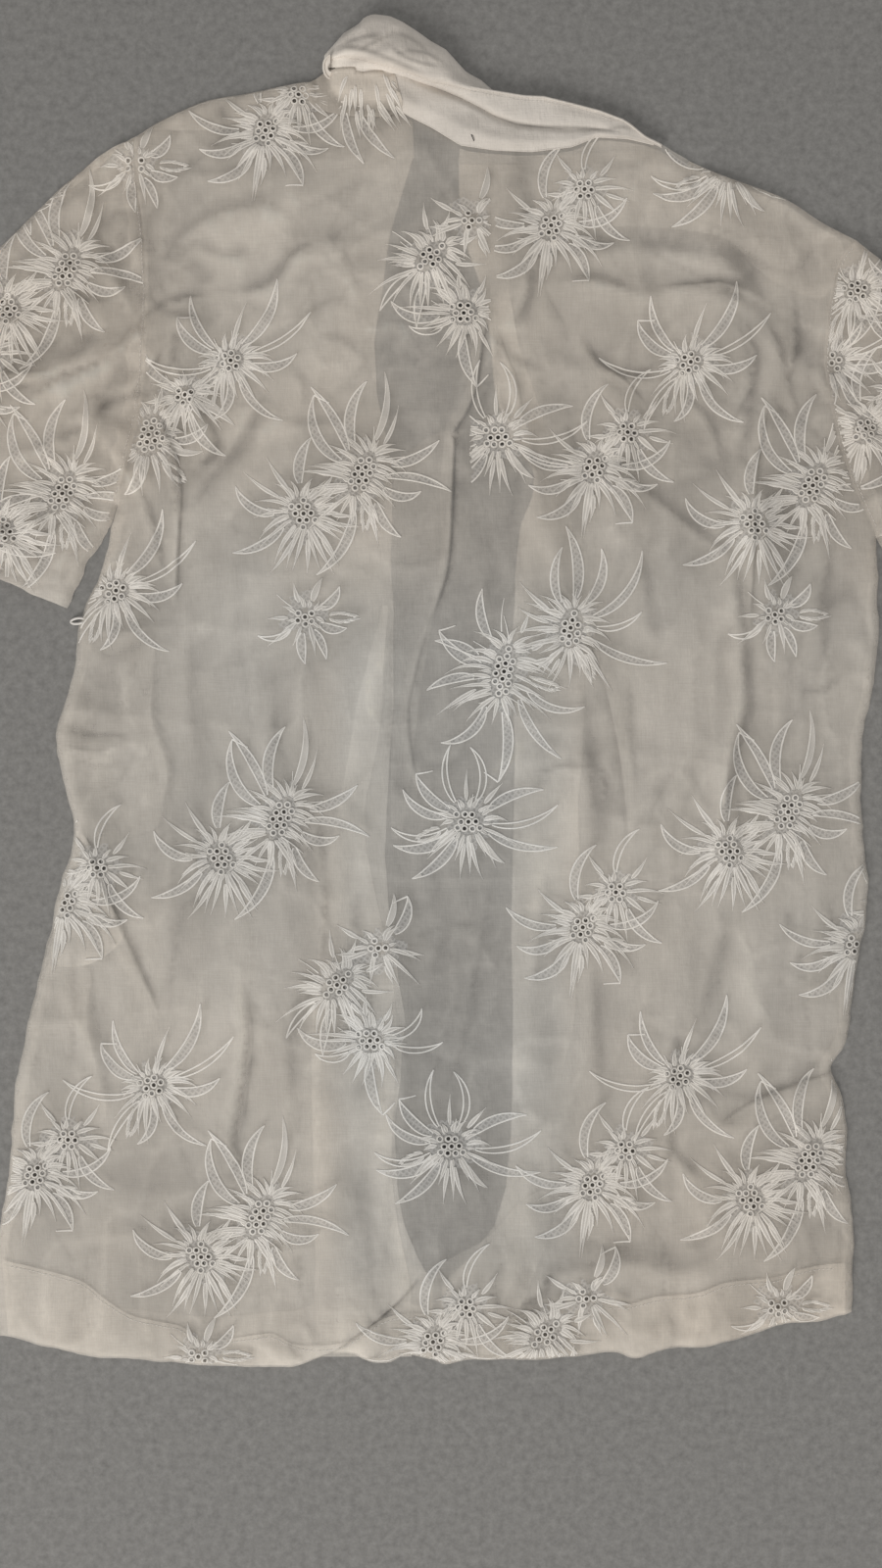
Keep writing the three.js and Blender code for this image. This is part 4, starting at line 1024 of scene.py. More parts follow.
rng = np.random.default_rng(20)
for kind in MOTIFS:
    spec = MOTIFS[kind]
    eyes, rays = [], []
    for hx, hy, la, lb, turn, n, nray, r0, r1 in spec["heads"]:
        c, s = math.cos(math.radians(turn)), math.sin(math.radians(turn))
        spots = []
        for i in range(-6, 7):
            for j in range(-6, 7):
                u, v = EYELET_PITCH * (i + 0.5 * (j % 2)), EYELET_PITCH * 0.88 * j
                e = (u / (la + 1)) ** 2 + (v / (lb + 1)) ** 2
                if e <= 2.0:
                    spots.append((e, u, v))
        spots.sort()
        la, lb = la * 1.14, lb * 1.14
        for e, u, v in spots[:n]:
            u += rng.uniform(-0.35, 0.35)
            v += rng.uniform(-0.35, 0.35)
            eyes.append((hx + c * u - s * v, hy + s * u + c * v))
        swirl, fall = rng.uniform(0, 50), rng.uniform(-150, -50)     # the rays hang over to one side
        nray = int(nray * 1.05)
        for i in range(nray):
            a = 2 * math.pi * (i + rng.uniform(-0.4, 0.4)) / nray
            u, v = (la + 1.2) * math.cos(a), (lb + 1.2) * math.sin(a)
            x, y = hx + c * u - s * v, hy + s * u + c * v
            out = math.degrees(math.atan2(s * math.cos(a) * lb + c * math.sin(a) * la,
                                          c * math.cos(a) * lb - s * math.sin(a) * la))
            flow = float(vnoise(np.array(a * 0.9), np.array(swirl), 5))
            off = (fall - out + 180) % 360 - 180
            hang = max(-46, min(46, 0.42 * off))
            long = 1.08 + 0.46 * math.cos(math.radians(off))
            rays.append((x, y, out + rng.uniform(-10, 10) - 12 * flow, (rng.uniform(r0, r1) + 2.5) * rng.choice([0.72, 1.0, 1.2]) * long,
                         hang + 26 * flow + rng.uniform(-14, 14), rng.uniform(2.0, 3.5), "ray"))
            if i % 4 == 0:
                rays.append((x, y, out + rng.uniform(-16, 16), rng.uniform(r0, r1) * 0.8, rng.uniform(-20, 20), 1.0, "line"))
        for i in range(int(nray * 0.6)):      # a short inner row that covers the head's rim
            a = 2 * math.pi * (i + rng.uniform(-0.3, 0.3)) / int(nray * 0.6)
            u, v = (la + 0.8) * math.cos(a), (lb + 0.8) * math.sin(a)
            x, y = hx + c * u - s * v, hy + s * u + c * v
            out = math.degrees(math.atan2(s * math.cos(a) * lb + c * math.sin(a) * la,
                                          c * math.cos(a) * lb - s * math.sin(a) * la))
            rays.append((x, y, out + rng.uniform(-18, 18), rng.uniform(5.0, 9.0), rng.uniform(-30, 30),
                         rng.uniform(1.6, 2.3), "ray"))
    for bx, by, d, ln in spec["buds"]:
        c, s = math.cos(math.radians(d)), math.sin(math.radians(d))
        for i in range(9):
            t = i / 8.0
            w = 3.6 * math.sin(math.pi * (0.15 + 0.75 * t))
            for side in (-1, 1):
                x = bx + c * ln * t - s * w * side * 0.5
                y = by + s * ln * t + c * w * side * 0.5
                rays.append((x, y, d + side * (34 - 20 * t) + rng.uniform(-8, 8), rng.uniform(4.2, 6.6) * (1.1 - 0.3 * t),
                             -side * 30, 1.7, "ray"))
    spec["eyes"], spec["rays"] = eyes, rays

for kind, px, py, panel in PLACES:
    x, y = mm(px, py)
    for h in MOTIFS[kind]["heads"]:
        HEADS.append((x + h[0], y + h[1], h[2]))


def centre_line(x, y, d, ln, bend, n):
    t = np.linspace(0, 1, n)
    a = np.radians(d + bend * (t - 0.15) * 1.0)
    dx, dy = np.cos(a), np.sin(a)
    step = ln / (n - 1)
    X = x + np.concatenate([[0], np.cumsum((dx[1:] + dx[:-1]) / 2)]) * step
    Y = y + np.concatenate([[0], np.cumsum((dy[1:] + dy[:-1]) / 2)]) * step
    return np.stack([X, Y], 1), np.stack([-dy, dx], 1), t


def strip(centre, normal, half, profile, inner=()):
    """Raised strip: cross-section points at fractions of the half width, with heights.
    inner names the lanes between those points that are satin, not outline."""
    n, m = len(centre), len(profile)
    v = np.zeros((n, m, 3))
    for j, (u, z) in enumerate(profile):
        v[:, j, :2] = centre + normal * (half * u)[:, None]
        v[:, j, 2] = z * np.minimum(1, 0.35 + half / max(1e-6, half.max()))
    f, w = [], []
    for i in range(n - 1):
        for j in range(m - 1):
            f.append((i * m + j, (i + 1) * m + j, (i + 1) * m + j + 1, i * m + j + 1))
            # satin lanes take the darker thread: painted shade beside the bright cords
            w.append(1 if j in inner else 0)
    return v.reshape(-1, 3), f, w


RAY = [(-1, 0.0), (-0.70, 0.34), (-0.42, 0.14), (0.42, 0.14), (0.70, 0.34), (1, 0.0)]
RAY_SMALL = [(-1, 0.0), (-0.45, 0.22), (0.45, 0.22), (1, 0.0)]
CORD = [(-1, 0.0), (0, 0.36), (1, 0.0)]
FILL = [(-1, 0.10), (0, 0.13), (1, 0.10)]


def petal(p, solid, net, grow=1.0):
    """Adds one petal as strips of (verts, faces) to solid and net."""
    x, y, d, ln, bend, w, kind = p
    if kind == "ray":
        n = max(5, int(ln / 2.3) + 1)
        c, nr, t = centre_line(x, y, d, ln, bend, n)
        half = 0.5 * w * (0.30 + 0.70 * np.sin(np.pi * np.clip(t / 0.9, 0, 1) ** 0.75)) * (1 - t ** 2.2) + 0.12
        solid.append(strip(c, nr, half, RAY, (2,)) if w > 1.9 else strip(c, nr, half, RAY_SMALL, (1,)))
        return
    if kind == "leaf":
        n = max(7, int(ln / 2.2) + 1)
        c, nr, t = centre_line(x, y, d, ln, bend, n)
        half = 0.5 * w * np.sin(np.pi * (0.06 + 0.94 * t) ** 0.75) ** 0.9 + 0.12
        solid.append(strip(c, nr, half, RAY, (1, 2, 3)))
        return
    if kind == "line":
        n = max(5, int(ln / 2.2) + 1)
        c, nr, t = centre_line(x, y, d, ln, bend, n)
        solid.append(strip(c, nr, np.full(n, 0.45) * (1 - 0.5 * t), CORD))
        return
    ln, w, bend = 1.10 * ln, 1.10 * w, 1.2 * bend
    n = max(8, int(ln / 2.0) + 1)
    c, nr, t = centre_line(x, y, d, ln, bend, n)
    body = np.sin(np.pi * (0.03 + 0.97 * t) ** 0.8) ** 0.85
    half = 0.5 * w * (body + 0.12 * (1 - t)) * (1 - 0.25 * smooth(0.7, 1, t))
    bow = 0.16 * w * body * (1 if bend < 0 else -1)      # fuller on the outside of the bend
    left, right = half + bow, half - bow
    cord = np.interp(t, [0, 0.8, 1], [0.46, 0.52, 0.34])
    for off in (left, -right):
        solid.append(strip(c + nr * off[:, None], nr, cord, CORD))
    if kind != "pair":
        mid = (left - right) / 2
        net.append(strip(c + nr * mid[:, None], nr, (left + right) / 2, FILL))
        k = np.nonzero(t > 0.8)[0]
        if len(k) > 2:      # solid tip
            solid.append(strip((c + nr * mid[:, None])[k], nr[k], ((left + right) / 2)[k], RAY_SMALL, (0, 1, 2)))
    if kind == "hook":
        tip = c[-1]
        turn = 105 if bend < 0 else -105
        ang = d + bend * 0.85 - turn
        cc, nn, tt = centre_line(tip[0], tip[1], ang, 10.5, 8, 6)
        solid.append(strip(cc, nn, 0.6 * (1 - 0.4 * tt), CORD))


def eyelet_ring(x, y):
    m = 10
    a = np.arange(m) * 2 * math.pi / m
    v, f = [], []
    for r, z in ((EYELET * 0.97, 0.05), (EYELET + 0.26, 0.50), (EYELET + 0.66, 0.30), (RING, 0.08)):
        v.append(np.stack([x + r * np.cos(a), y + r * np.sin(a), np.full(m, z)], 1))
    w = []
    for j in range(3):
        for i in range(m):
            k = (i + 1) % m
            f.append((j * m + i, (j + 1) * m + i, (j + 1) * m + k, j * m + k))
            # the ring's outer rim takes the darker satin thread: painted shade
            w.append(1 if j == 2 else 0)
    return np.vstack(v), f, w


# ------------------------------------------------------------------ clip regions for the stitching
SLEEVE_L = np.vstack([arm_l[::-1][:-1], under_l[:-1], mouth_l[::-1][:-1], out_l[::-1][:-1]])
SLEEVE_R = np.vstack([arm_r[::-1][:-1], under_r[:-1], mouth_r[::-1][:-1], out_r[::-1][:-1]])
neck_cover = np.array([(x, y - 0.5) for x, y in NECK])


def shrink_ok(x, y, poly, margin):
    ok = inside(x, y, poly)
    closed = np.vstack([poly, poly[:1]])
    return ok & (near(x, y, closed)[0] > margin)


PLEAT_X = mm(502, 0)[0]
PLEAT_Y = mm(0, 322)[1]


def allowed(x, y, panel):
    poly = SLEEVE_L if panel == "sleeve_left" else SLEEVE_R if panel == "sleeve_right" else BACK
    ok = shrink_ok(x, y, poly, 1.0)
    if panel == "back_left":
        ok &= ~((x > PLEAT_X - 0.6) & (y > PLEAT_Y - 20))
    if panel == "back_right":
        ok &= ~((x < PLEAT_X + 0.6) & (y > PLEAT_Y - 20))
    if panel == "back_pleat":
        ok &= x > PLEAT_X - 14
    return ok


holes = {"back": [], "sleeve_left": [], "sleeve_right": []}
stitched = {}      # panel group -> solid strips, net strips, rings
for kind, px, py, panel in PLACES:
    cx, cy = mm(px, py)
    spec = MOTIFS[kind]
    body = "back" if panel.startswith("back") else panel
    group = body if body != "back" else ("back_upper" if cy > 20 else "back_lower")
    store = stitched.setdefault(group, ([], [], []))
    eyes = np.array(spec["eyes"], float).reshape(-1, 2) + (cx, cy)
    if len(eyes):
        ok = allowed(eyes[:, 0], eyes[:, 1], panel)
        poly = {"back": BACK, "sleeve_left": SLEEVE_L, "sleeve_right": SLEEVE_R}[body]
        closed = np.vstack([poly, poly[:1]])
        ok &= near(eyes[:, 0], eyes[:, 1], closed)[0] > 3.2
        for e in eyes[ok]:
            if all((e[0] - q[0]) ** 2 + (e[1] - q[1]) ** 2 > 3.4 ** 2 for q in holes[body]):
                holes[body].append((float(e[0]), float(e[1])))
                store[2].append(eyelet_ring(e[0], e[1]))
    solid, net = [], []
    for hx, hy, la, lb, turn, n, nray, r0, r1 in spec["heads"]:      # the close ground round each head
        c, s = math.cos(math.radians(turn)), math.sin(math.radians(turn))
        m = 44
        a = np.arange(m) * 2 * math.pi / m
        far = 1 + 0.42 * vnoise(np.cos(a) * 4 + cx, np.sin(a) * 4 + cy, 141)
        v = []
        for q in (0.0, 0.35, 0.7, 1.0):
            u = ((la + 8.0) * np.cos(a)) * (q * far)
            w = ((lb + 8.0) * np.sin(a)) * (q * far)
            v.append(np.stack([cx + hx + c * u - s * w, cy + hy + s * u + c * w, np.full(m, 0.05)], 1))
        f = [(j * m + i, (j + 1) * m + i, (j + 1) * m + (i + 1) % m, j * m + (i + 1) % m) for j in range(1, 3) for i in range(m)]
        net.append((np.vstack(v), f, [0] * len(f)))
    for p in spec["rays"] + spec["petals"]:
        q = (p[0] + cx, p[1] + cy) + tuple(p[2:])
        petal(q, solid, net)
    for src, dst in ((solid, store[0]), (net, store[1])):
        if not src:
            continue
        allv = np.vstack([v for v, f, w in src])
        ok = allowed(allv[:, 0], allv[:, 1], panel)
        k = 0
        for v, f, w in src:
            o = ok[k:k + len(v)]
            k += len(v)
            if o.all():
                dst.append((v, f, w))
            elif o.any():
                g = [(q, c) for q, c in zip(f, w) if all(o[i] for i in q)]
                if g:
                    used = sorted({i for q, c in g for i in q})
                    remap = {i: j for j, i in enumerate(used)}
                    dst.append((v[used], [tuple(remap[i] for i in q) for q, c in g], [c for q, c in g]))

# ------------------------------------------------------------------ the back
edge_lines = [e[0] for e in EDGES]
v2, f2 = triangulate(BACK, BACK_STEP, holes["back"], edge_lines, 5)
back_v = np.column_stack([v2, height(v2[:, 0], v2[:, 1])])
back = place("back_cloth", back_v, f2, M_BACK, shade=tone(v2[:, 0], v2[:, 1]) + hollows(back_v, f2))

# sleeves: an upper layer that carries on from the back, and an under layer on the surface
sleeves = {}
for name, poly, mouth in (("sleeve_left", SLEEVE_L, mouth_l), ("sleeve_right", SLEEVE_R, mouth_r)):
    a2, af = triangulate(poly, 3.6, holes[name], [], 8)
    d_m = near(a2[:, 0], a2[:, 1], mouth)[0]
    z = height(a2[:, 0], a2[:, 1])
    open_up = smooth(60, 0, d_m) * 1.6 * (0.7 + 0.6 * vnoise(a2[:, 0] / 16, a2[:, 1] / 16, 71))
    rumple = smooth(62, 6, d_m) * smooth(0, 7, d_m) * (2.6 * ridged(a2[:, 0] / 15, a2[:, 1] / 18, 73, 2)
                                                     + 1.5 * fbm(a2[:, 0] / 8, a2[:, 1] / 9, 76, 2))
    top_part = np.column_stack([a2, z + open_up + rumple])
    closed = np.vstack([poly, poly[:1]])
    b2, bf = triangulate(poly, 7.0, [], [], 9)
    low_part = np.column_stack([b2, front_height(b2[:, 0], b2[:, 1])])
    sleeves[name] = (top_part, af, low_part, bf)

sleeve_obs = {}
for name, (tv, tf, lv, lf) in sleeves.items():
    both = list(tf) + [tuple(int(i) + len(tv) for i in q) for q in lf]
    sleeve_obs[name] = place(name + "_cloth", np.vstack([tv, lv]), both, M_BACK, True, M_FRONT,
                             [0] * len(tf) + [1] * len(lf),
                             shade=np.concatenate([tone(tv[:, 0], tv[:, 1]) + hollows(tv, tf), tone(lv[:, 0], lv[:, 1])]))

# ------------------------------------------------------------------ fronts, facings, hems
# the last argument scales the painted shade and light the sheet carries
def polygon_sheet(name, poly, step, zfun, material, seed=3, shade_strength=1.0):
    p2, pf = triangulate(np.asarray(poly, float), step, [], [], seed)
    return place(name, np.column_stack([p2, zfun(p2[:, 0], p2[:, 1])]), pf, material,
                 shade=tone(p2[:, 0], p2[:, 1], shade_strength))


edge_y = np.linspace(mm(0, 1392)[1], mm(0, 152)[1], 150)
front_l_edge = np.stack([front_x(edge_y, 1), edge_y], 1)
front_r_edge = np.stack([front_x(edge_y, 2), edge_y], 1)
front_l_edge = wavy(front_l_edge, 2.2, 11, 60)
front_r_edge = wavy(front_r_edge, 2.2, 12, 60)
hem_in = hem.copy()
hem_l = hem_in[hem_in[:, 0] < front_l_edge[0, 0] - 1]
hem_r = hem_in[hem_in[:, 0] > front_r_edge[0, 0] + 1]
top_l = top[(top[:, 0] < front_l_edge[-1, 0] - 1)].copy()
top_r = top[(top[:, 0] > front_r_edge[-1, 0] + 1)].copy()
top_l[:, 1] -= np.where(top_l[:, 0] > -110, 4.0, 0.0)
top_r[:, 1] -= np.where(top_r[:, 0] < 117, 4.0, 0.0)
front_l_edge[0, 1] = hem_l[-1, 1]
front_r_edge[0, 1] = hem_r[0, 1]
poly_l = np.vstack([hem_l, front_l_edge[:-1], top_l[::-1][:-1], arm_l[::-1][:-1], side_l[::-1][:-1]])
poly_r = np.vstack([front_r_edge[::-1][:-1], hem_r[:-1], side_r[:-1], arm_r[:-1], top_r[::-1]])
front_l = polygon_sheet("front_left_cloth", poly_l, FRONT_STEP, front_height, M_FRONT, 3)
front_r = polygon_sheet("front_right_cloth", poly_r, FRONT_STEP, front_height, M_FRONT, 4)


def facing_sheet(name, edge, k, sgn, seed):
    ys = edge_y[1:-1:2]
    if sgn < 0:
        ys = ys[ys < mm(0, 618)[1]]
        a = wavy(np.stack([front_x(ys, 5), ys], 1), 1.2, seed + 4, 50)
    else:
        a = np.stack([np.interp(ys, edge[:, 1], edge[:, 0]) + 0.6, ys], 1)
    b = wavy(np.stack([front_x(ys, k), ys], 1), 2.0, seed, 60)
    poly = np.vstack([a, b[::-1]]) if sgn < 0 else np.vstack([b, a[::-1]])
    return polygon_sheet(name, poly, 6.0, lambda x, y: front_height(x, y) + 0.42, M_FACING, seed, 2.2)


facing_l = facing_sheet("facing_left_cloth", front_l_edge, 3, -1, 21)
facing_r = facing_sheet("facing_right_cloth", front_r_edge, 4, 1, 22)

# where the cloth is doubled: the front wraps round at the left side, over the right shoulder and above the hem
DOUBLED = [
    ("left_side_fold", (86, 642), (120, 646), (156, 650), (157, 690), (156, 733), (172, 785), (168, 815), (162, 842),
     (140, 852), (110, 862), (94, 858), (84, 838), (71, 799), (65, 750), (80, 692)),
    ("left_side_tuck", (80, 846), (94, 862), (115, 923), (128, 952), (110, 974), (80, 986), (54, 978), (60, 930),
     (68, 899), (78, 864)),
    ("left_side_lower", (50, 984), (92, 990), (90, 1040), (100, 1090), (108, 1140), (60, 1152), (18, 1150), (27, 1089),
     (40, 1030)),
    ("right_shoulder_fold", (556, 160), (612, 158), (660, 156), (694, 170), (735, 186), (799, 212), (836, 236),
     (858, 254), (850, 286), (836, 306), (800, 296), (770, 276), (744, 250), (700, 238), (640, 233), (590, 238),
     (560, 244), (546, 214)),
    ("pleat_under", (472, 440), (463, 470), (456, 560), (440, 640), (430, 700), (420, 780), (409, 856), (400, 856),
     (400, 700), (399, 560), (400, 500), (412, 470), (440, 446)),
    ("hem_fold", (434, 1296), (468, 1278), (500, 1258), (528, 1228), (556, 1214), (560, 1252), (545, 1296),
     (522, 1340), (470, 1348), (438, 1344)),
]
doubled = []
for i, (name, *corners) in enumerate(DOUBLED):
    edge = spline(np.vstack([pts(*corners), pts(corners[0])]), 4.0)[:-1]
    edge = edge[inside(edge[:, 0], edge[:, 1], BACK)]
    doubled.append(polygon_sheet(name, edge, 6.0, lambda x, y: np.maximum(height(x, y) - 0.5, front_height(x, y) + 0.1),
                                 M_TUCK if name == "left_side_tuck" else M_UNDER if name == "pleat_under" else M_DOUBLE, 60 + i, 0.6))

# the back's turned-up hem, on the inside, and the fronts' own
hl = spline(HEM_LINE, 3.0)
hl = hl[(hl[:, 0] > hem[0, 0] + 1.5) & (hl[:, 0] < hem[-1, 0] - 1.5)]
hem_inset = hem[(hem[:, 0] > hem[0, 0] + 2) & (hem[:, 0] < hem[-1, 0] - 2)].copy()
hem_inset[:, 1] += 1.3
hem_poly = np.vstack([hem_inset, hl[::-1]])
hem_back = polygon_sheet("back_hem", hem_poly, 5.0,
                         lambda x, y: front_height(x, y) + 0.06 + 0.35 * np.maximum(height(x, y) - front_height(x, y) - 0.42, 0),
                         M_HEM, 31)


def front_hem(name, lo_x, hi_x, seed, rise):
    part = hem[(hem[:, 0] > lo_x) & (hem[:, 0] < hi_x)].copy()
    part[:, 1] += 1.5
    up = part.copy()
    up[:, 1] += rise + 3 * vnoise(up[:, 0] / 60, up[:, 0] * 0, seed)
    return polygon_sheet(name, np.vstack([part, up[::-1]]), 7.0,
                         lambda x, y: front_height(x, y) + 0.22, M_FRONT, seed)


fhem_l = front_hem("front_left_hem", hem[0, 0] + 3, front_l_edge[0, 0] - 2, 41, 30)
fhem_r = front_hem("front_right_hem", front_r_edge[0, 0] + 2, hem[-1, 0] - 3, 42, 34)

# folded cloth under the pleats and folded edges, seam allowances, and the shoulder where the front comes over
under = Bag()
for (line, step, wide), w in zip(EDGES, (6, 5, 26, 8, 9, 6, 6, 12, 8, 9, 7, 4, 4, 5, 5, 5)):
    if w <= 0:
        continue
    s = np.linspace(0, 1, len(line))
    width = w * np.minimum(1, 6 * np.minimum(s, 1 - s) + 0.15) * (1 + 0.2 * vnoise(s * 5, s * 0 + w, 77))
    v, f = ribbon(line, 0.7, 0.7 + width, lambda x, y: height(x, y) - 0.36, 3)
    ok = inside(v[:, 0], v[:, 1], np.vstack([BACK])) | inside(v[:, 0], v[:, 1], SLEEVE_L)
    f = [q for q in f if all(ok[i] for i in q)]
    if f:
        under.add(v, f)
seams = Bag()
for line, a, b in ((arm_l, -1.5, 9.0), (arm_r, -9.0, 0.5), (side_l[6:-2], -8.5, -1.6), (side_r[6:-2], 1.6, 8.0)):
    s = np.linspace(0, 1, len(line))
    j = 1 + 0.16 * vnoise(s * 30, s * 0, 78)
    v, f = ribbon(line, np.full(len(line), a) * j, np.full(len(line), b) * j, lambda x, y: height(x, y) - 0.3, 2)
    ok = (inside(v[:, 0], v[:, 1], BACK) | inside(v[:, 0], v[:, 1], SLEEVE_L) | inside(v[:, 0], v[:, 1], SLEEVE_R))
    f = [q for q in f if all(ok[i] for i in q)]
    seams.add(v, f)
uv, uf = under.arrays()
folds_under = place("folded_cloth", uv, uf, M_UNDER)
sv, sf = seams.arrays()
seam_cloth = place("seam_allowances", sv, sf, M_DOUBLE)

shoulder_line = spline(pts((60, 204), (100, 176), (150, 139), (196, 136), (240, 133), (290, 122), (332, 110)), 3.0)
edge_part = np.vstack([out_l[::-1][(out_l[::-1][:, 0] > shoulder_line[0, 0])], top[(top[:, 0] < shoulder_line[-1, 0])][1:]])
edge_part = edge_part + (0.9, -1.2)
shoulder_poly = np.vstack([shoulder_line, edge_part[::-1]])
shoulder = polygon_sheet("shoulder_fold_left", shoulder_poly, 5.0, lambda x, y: height(x, y) - 0.45, M_FRONT, 51)

# ------------------------------------------------------------------ embroidery on the cloth
depsgraph_trees = {
    "back": BVHTree.FromPolygons([tuple(p) for p in back_v], [tuple(int(i) for i in t) for t in f2]),
    "sleeve_left": BVHTree.FromPolygons([tuple(p) for p in sleeves["sleeve_left"][0]],
                                        [tuple(int(i) for i in t) for t in sleeves["sleeve_left"][1]]),
    "sleeve_right": BVHTree.FromPolygons([tuple(p) for p in sleeves["sleeve_right"][0]],
                                         [tuple(int(i) for i in t) for t in sleeves["sleeve_right"][1]]),
}
DOWN = Vector((0, 0, -1))


def drop(v, tree, lift):
    """Lays plan points with small heights on the cloth."""
    z = np.empty(len(v))
    fallback = None
    for i, (x, y, _) in enumerate(v):
        hit = tree.ray_cast(Vector((x, y, 60.0)), DOWN)
        if hit[0] is None:
            if fallback is None:
                fallback = height(v[:, 0], v[:, 1])
            z[i] = fallback[i]
        else:
            z[i] = hit[0].z
    out = v.copy()
    out[:, 2] = z + v[:, 2] + lift
    return out


embroidery = []
layer = np.random.default_rng(3)
for group, (solid, net, rings) in stitched.items():
    tree = depsgraph_trees["back" if group.startswith("back") else group]
    bag = Bag()
    for v, f, w in solid:
        v = v.copy()
        v[:, 2] += layer.uniform(0.0, 0.22)      # petals lie over each other
        bag.add(v, f, w)
    for v, f, w in rings:
        v = v.copy()
        v[:, 2] += 0.16
        bag.add(v, f, w)
    V, F = bag.arrays()
    # the threads carry a weaker copy of the cloth's painted shade
    ob = place("embroidery_" + group, drop(V, tree, 0.10), F, M_THREAD, True, M_SATIN_SHADED, bag.w,
               shade=tone(V[:, 0], V[:, 1], 0.45))
    embroidery.append((ob, group))
    # painted shade: a dark see-through disc just under each eyelet's hole
    hole_shade_discs, m = Bag(), 8
    for v, f, w in rings:
        c = v[:10].mean(0)
        a = np.arange(m) * 2 * math.pi / m
        q = np.stack([c[0] + 1.26 * np.cos(a), c[1] + 1.26 * np.sin(a), np.full(m, -0.28)], 1)
        hole_shade_discs.add(q, [tuple(range(m))])
    V, F = hole_shade_discs.arrays()
    zc = height(V[:, 0], V[:, 1])
    V[:, 2] += zc
    ob = place("eyelet_shade_" + group, V, F, M_SHADE, False)
    embroidery.append((ob, group))
    if net:
        bag = Bag()
        for v, f, w in net:
            bag.add(v, f)
        V, F = bag.arrays()
        ob = place("net_fill_" + group, drop(V, tree, 0.06), F, M_NET, shade=tone(V[:, 0], V[:, 1], 0.45))
        embroidery.append((ob, group))

# ------------------------------------------------------------------ collar
CREASE = pts((329, 72), (352, 69), (388, 73), (415, 80), (432, 86), (447, 91), (469, 100), (491, 111), (505, 119),
             (527, 127), (555, 130), (577, 132), (599, 132), (612, 131), (640, 136), (668, 144.5), (697, 161))
TOP_EDGE = pts((329, 60), (351, 57), (366, 59), (388, 65), (417, 73), (441, 82), (476, 89), (504, 94), (534, 99),
               (555, 100), (584, 107), (611, 114), (635, 123), (648, 131), (665, 142), (697, 161))
RISE = [(mm(329, 0)[0], 1.0), (mm(440, 0)[0], 1.0), (mm(505, 0)[0], 0.85), (mm(560, 0)[0], 0.7), (mm(610, 0)[0], 0.55),
        (mm(650, 0)[0], 0.35), (mm(697, 0)[0], 0.15)]
FAR_EDGE = pts((329, 60), (332, 55), (337, 50), (351, 34), (366, 25), (372, 18), (381, 15), (398, 17), (411, 23),
               (425, 32), (439, 42), (455, 51), (466, 63), (476, 74), (491, 82), (506, 95))


def by_x(line, x):
    o = np.argsort(line[:, 0])
    return np.interp(x, line[o, 0], line[o, 1])


xs = np.arange(mm(331, 0)[0], mm(676, 0)[0], 2.4)
rise = np.interp(xs, [r[0] for r in RISE], [r[1] for r in RISE])
seam_y = np.interp(xs, TOP[:, 0], TOP[:, 1]) - 1.2
crease_y = by_x(CREASE, xs)
edge_yy = by_x(TOP_EDGE, xs)
tip = smooth(mm(678, 0)[0], mm(640, 0)[0], xs)
edge_yy = seam_y + 1.6 + (edge_yy - seam_y - 1.6) * np.maximum(tip, 0.05)
crease_y = np.minimum(crease_y, edge_yy - 0.8)
seam_y = np.minimum(seam_y, crease_y - 0.8)


def drawn_in(v, k=0.86):
    """The tables above give the collar's outline at the height it is seen at: its plan on the table."""
    v = np.array(v, float)
    cx, cy = mm(450, 800)
    v[:, 0] = cx + (v[:, 0] - cx) * (1 - k * v[:, 2] / 950)
    v[:, 1] = cy + (v[:, 1] - cy) * (1 - k * v[:, 2] / 950)
    return v


def grid(rows_y, rows_z, x, name, material):
    R, C = len(rows_y), len(x)
    v = np.zeros((R, C, 3))
    for i in range(R):
        v[i, :, 0], v[i, :, 1], v[i, :, 2] = x, rows_y[i], rows_z[i]
    f = []
    for i in range(R - 1):
        for j in range(C - 1):
            f.append((i * C + j, i * C + j + 1, (i + 1) * C + j + 1, (i + 1) * C + j))
    v = v.reshape(-1, 3)
    shade = collar_tone(v[:, 0], v[:, 1])
    return place(name, drawn_in(v), f, material, shade=shade)


def crumple(x, y, k=1.0):
    return k * (0.9 * fbm(x / 22, y / 14, 81, 3) + 0.35 * ridged((x + y) / 20, (x - y) / 34, 84, 2)
                + 0.12 * fbm(x / 6, y / 6, 87, 2))


# creases on the collar, drawn only as painted shade: points, depth, width
COLLAR_CREASES = [
    (pts((333, 55), (352, 50), (372, 53), (395, 61), (420, 72), (444, 80)), 0.8, 1.8),
    (pts((349, 47), (366, 41), (392, 37)), 0.6, 1.7), (pts((366, 54), (384, 44), (404, 36)), 0.6, 1.5),
    (pts((396, 46), (410, 58), (430, 66), (452, 70)), 0.7, 1.3), (pts((404, 34), (424, 44), (436, 56)), 0.5, 1.6),
    (pts((404, 58), (420, 54), (440, 58), (456, 68)), 0.5, 1.4), (pts((346, 42), (358, 30), (374, 24)), 0.4, 1.6),
    (pts((350, 66), (380, 62), (402, 66)), 0.35, 2.2), (pts((432, 88), (470, 102), (505, 119)), 0.35, 2.0),
    (pts((500, 117), (530, 127), (560, 130), (600, 131.5), (632, 135)), 0.95, 1.0),
    (pts((618, 134), (634, 130), (648, 134)), 0.5, 1.4), (pts((356, 84), (384, 92), (420, 104)), 0.35, 3.0),
    (pts((398, 84), (416, 96), (430, 112)), 0.3, 2.6), (pts((340, 78), (352, 92), (372, 100)), 0.35, 2.6),
    (pts((460, 122), (490, 132), (520, 138)), 0.25, 2.6), (pts((560, 112), (590, 116), (622, 124)), 0.3, 2.0),
]
COLLAR_CREASES = [(spline(p, 2.0), depth, w) for p, depth, w in COLLAR_CREASES]


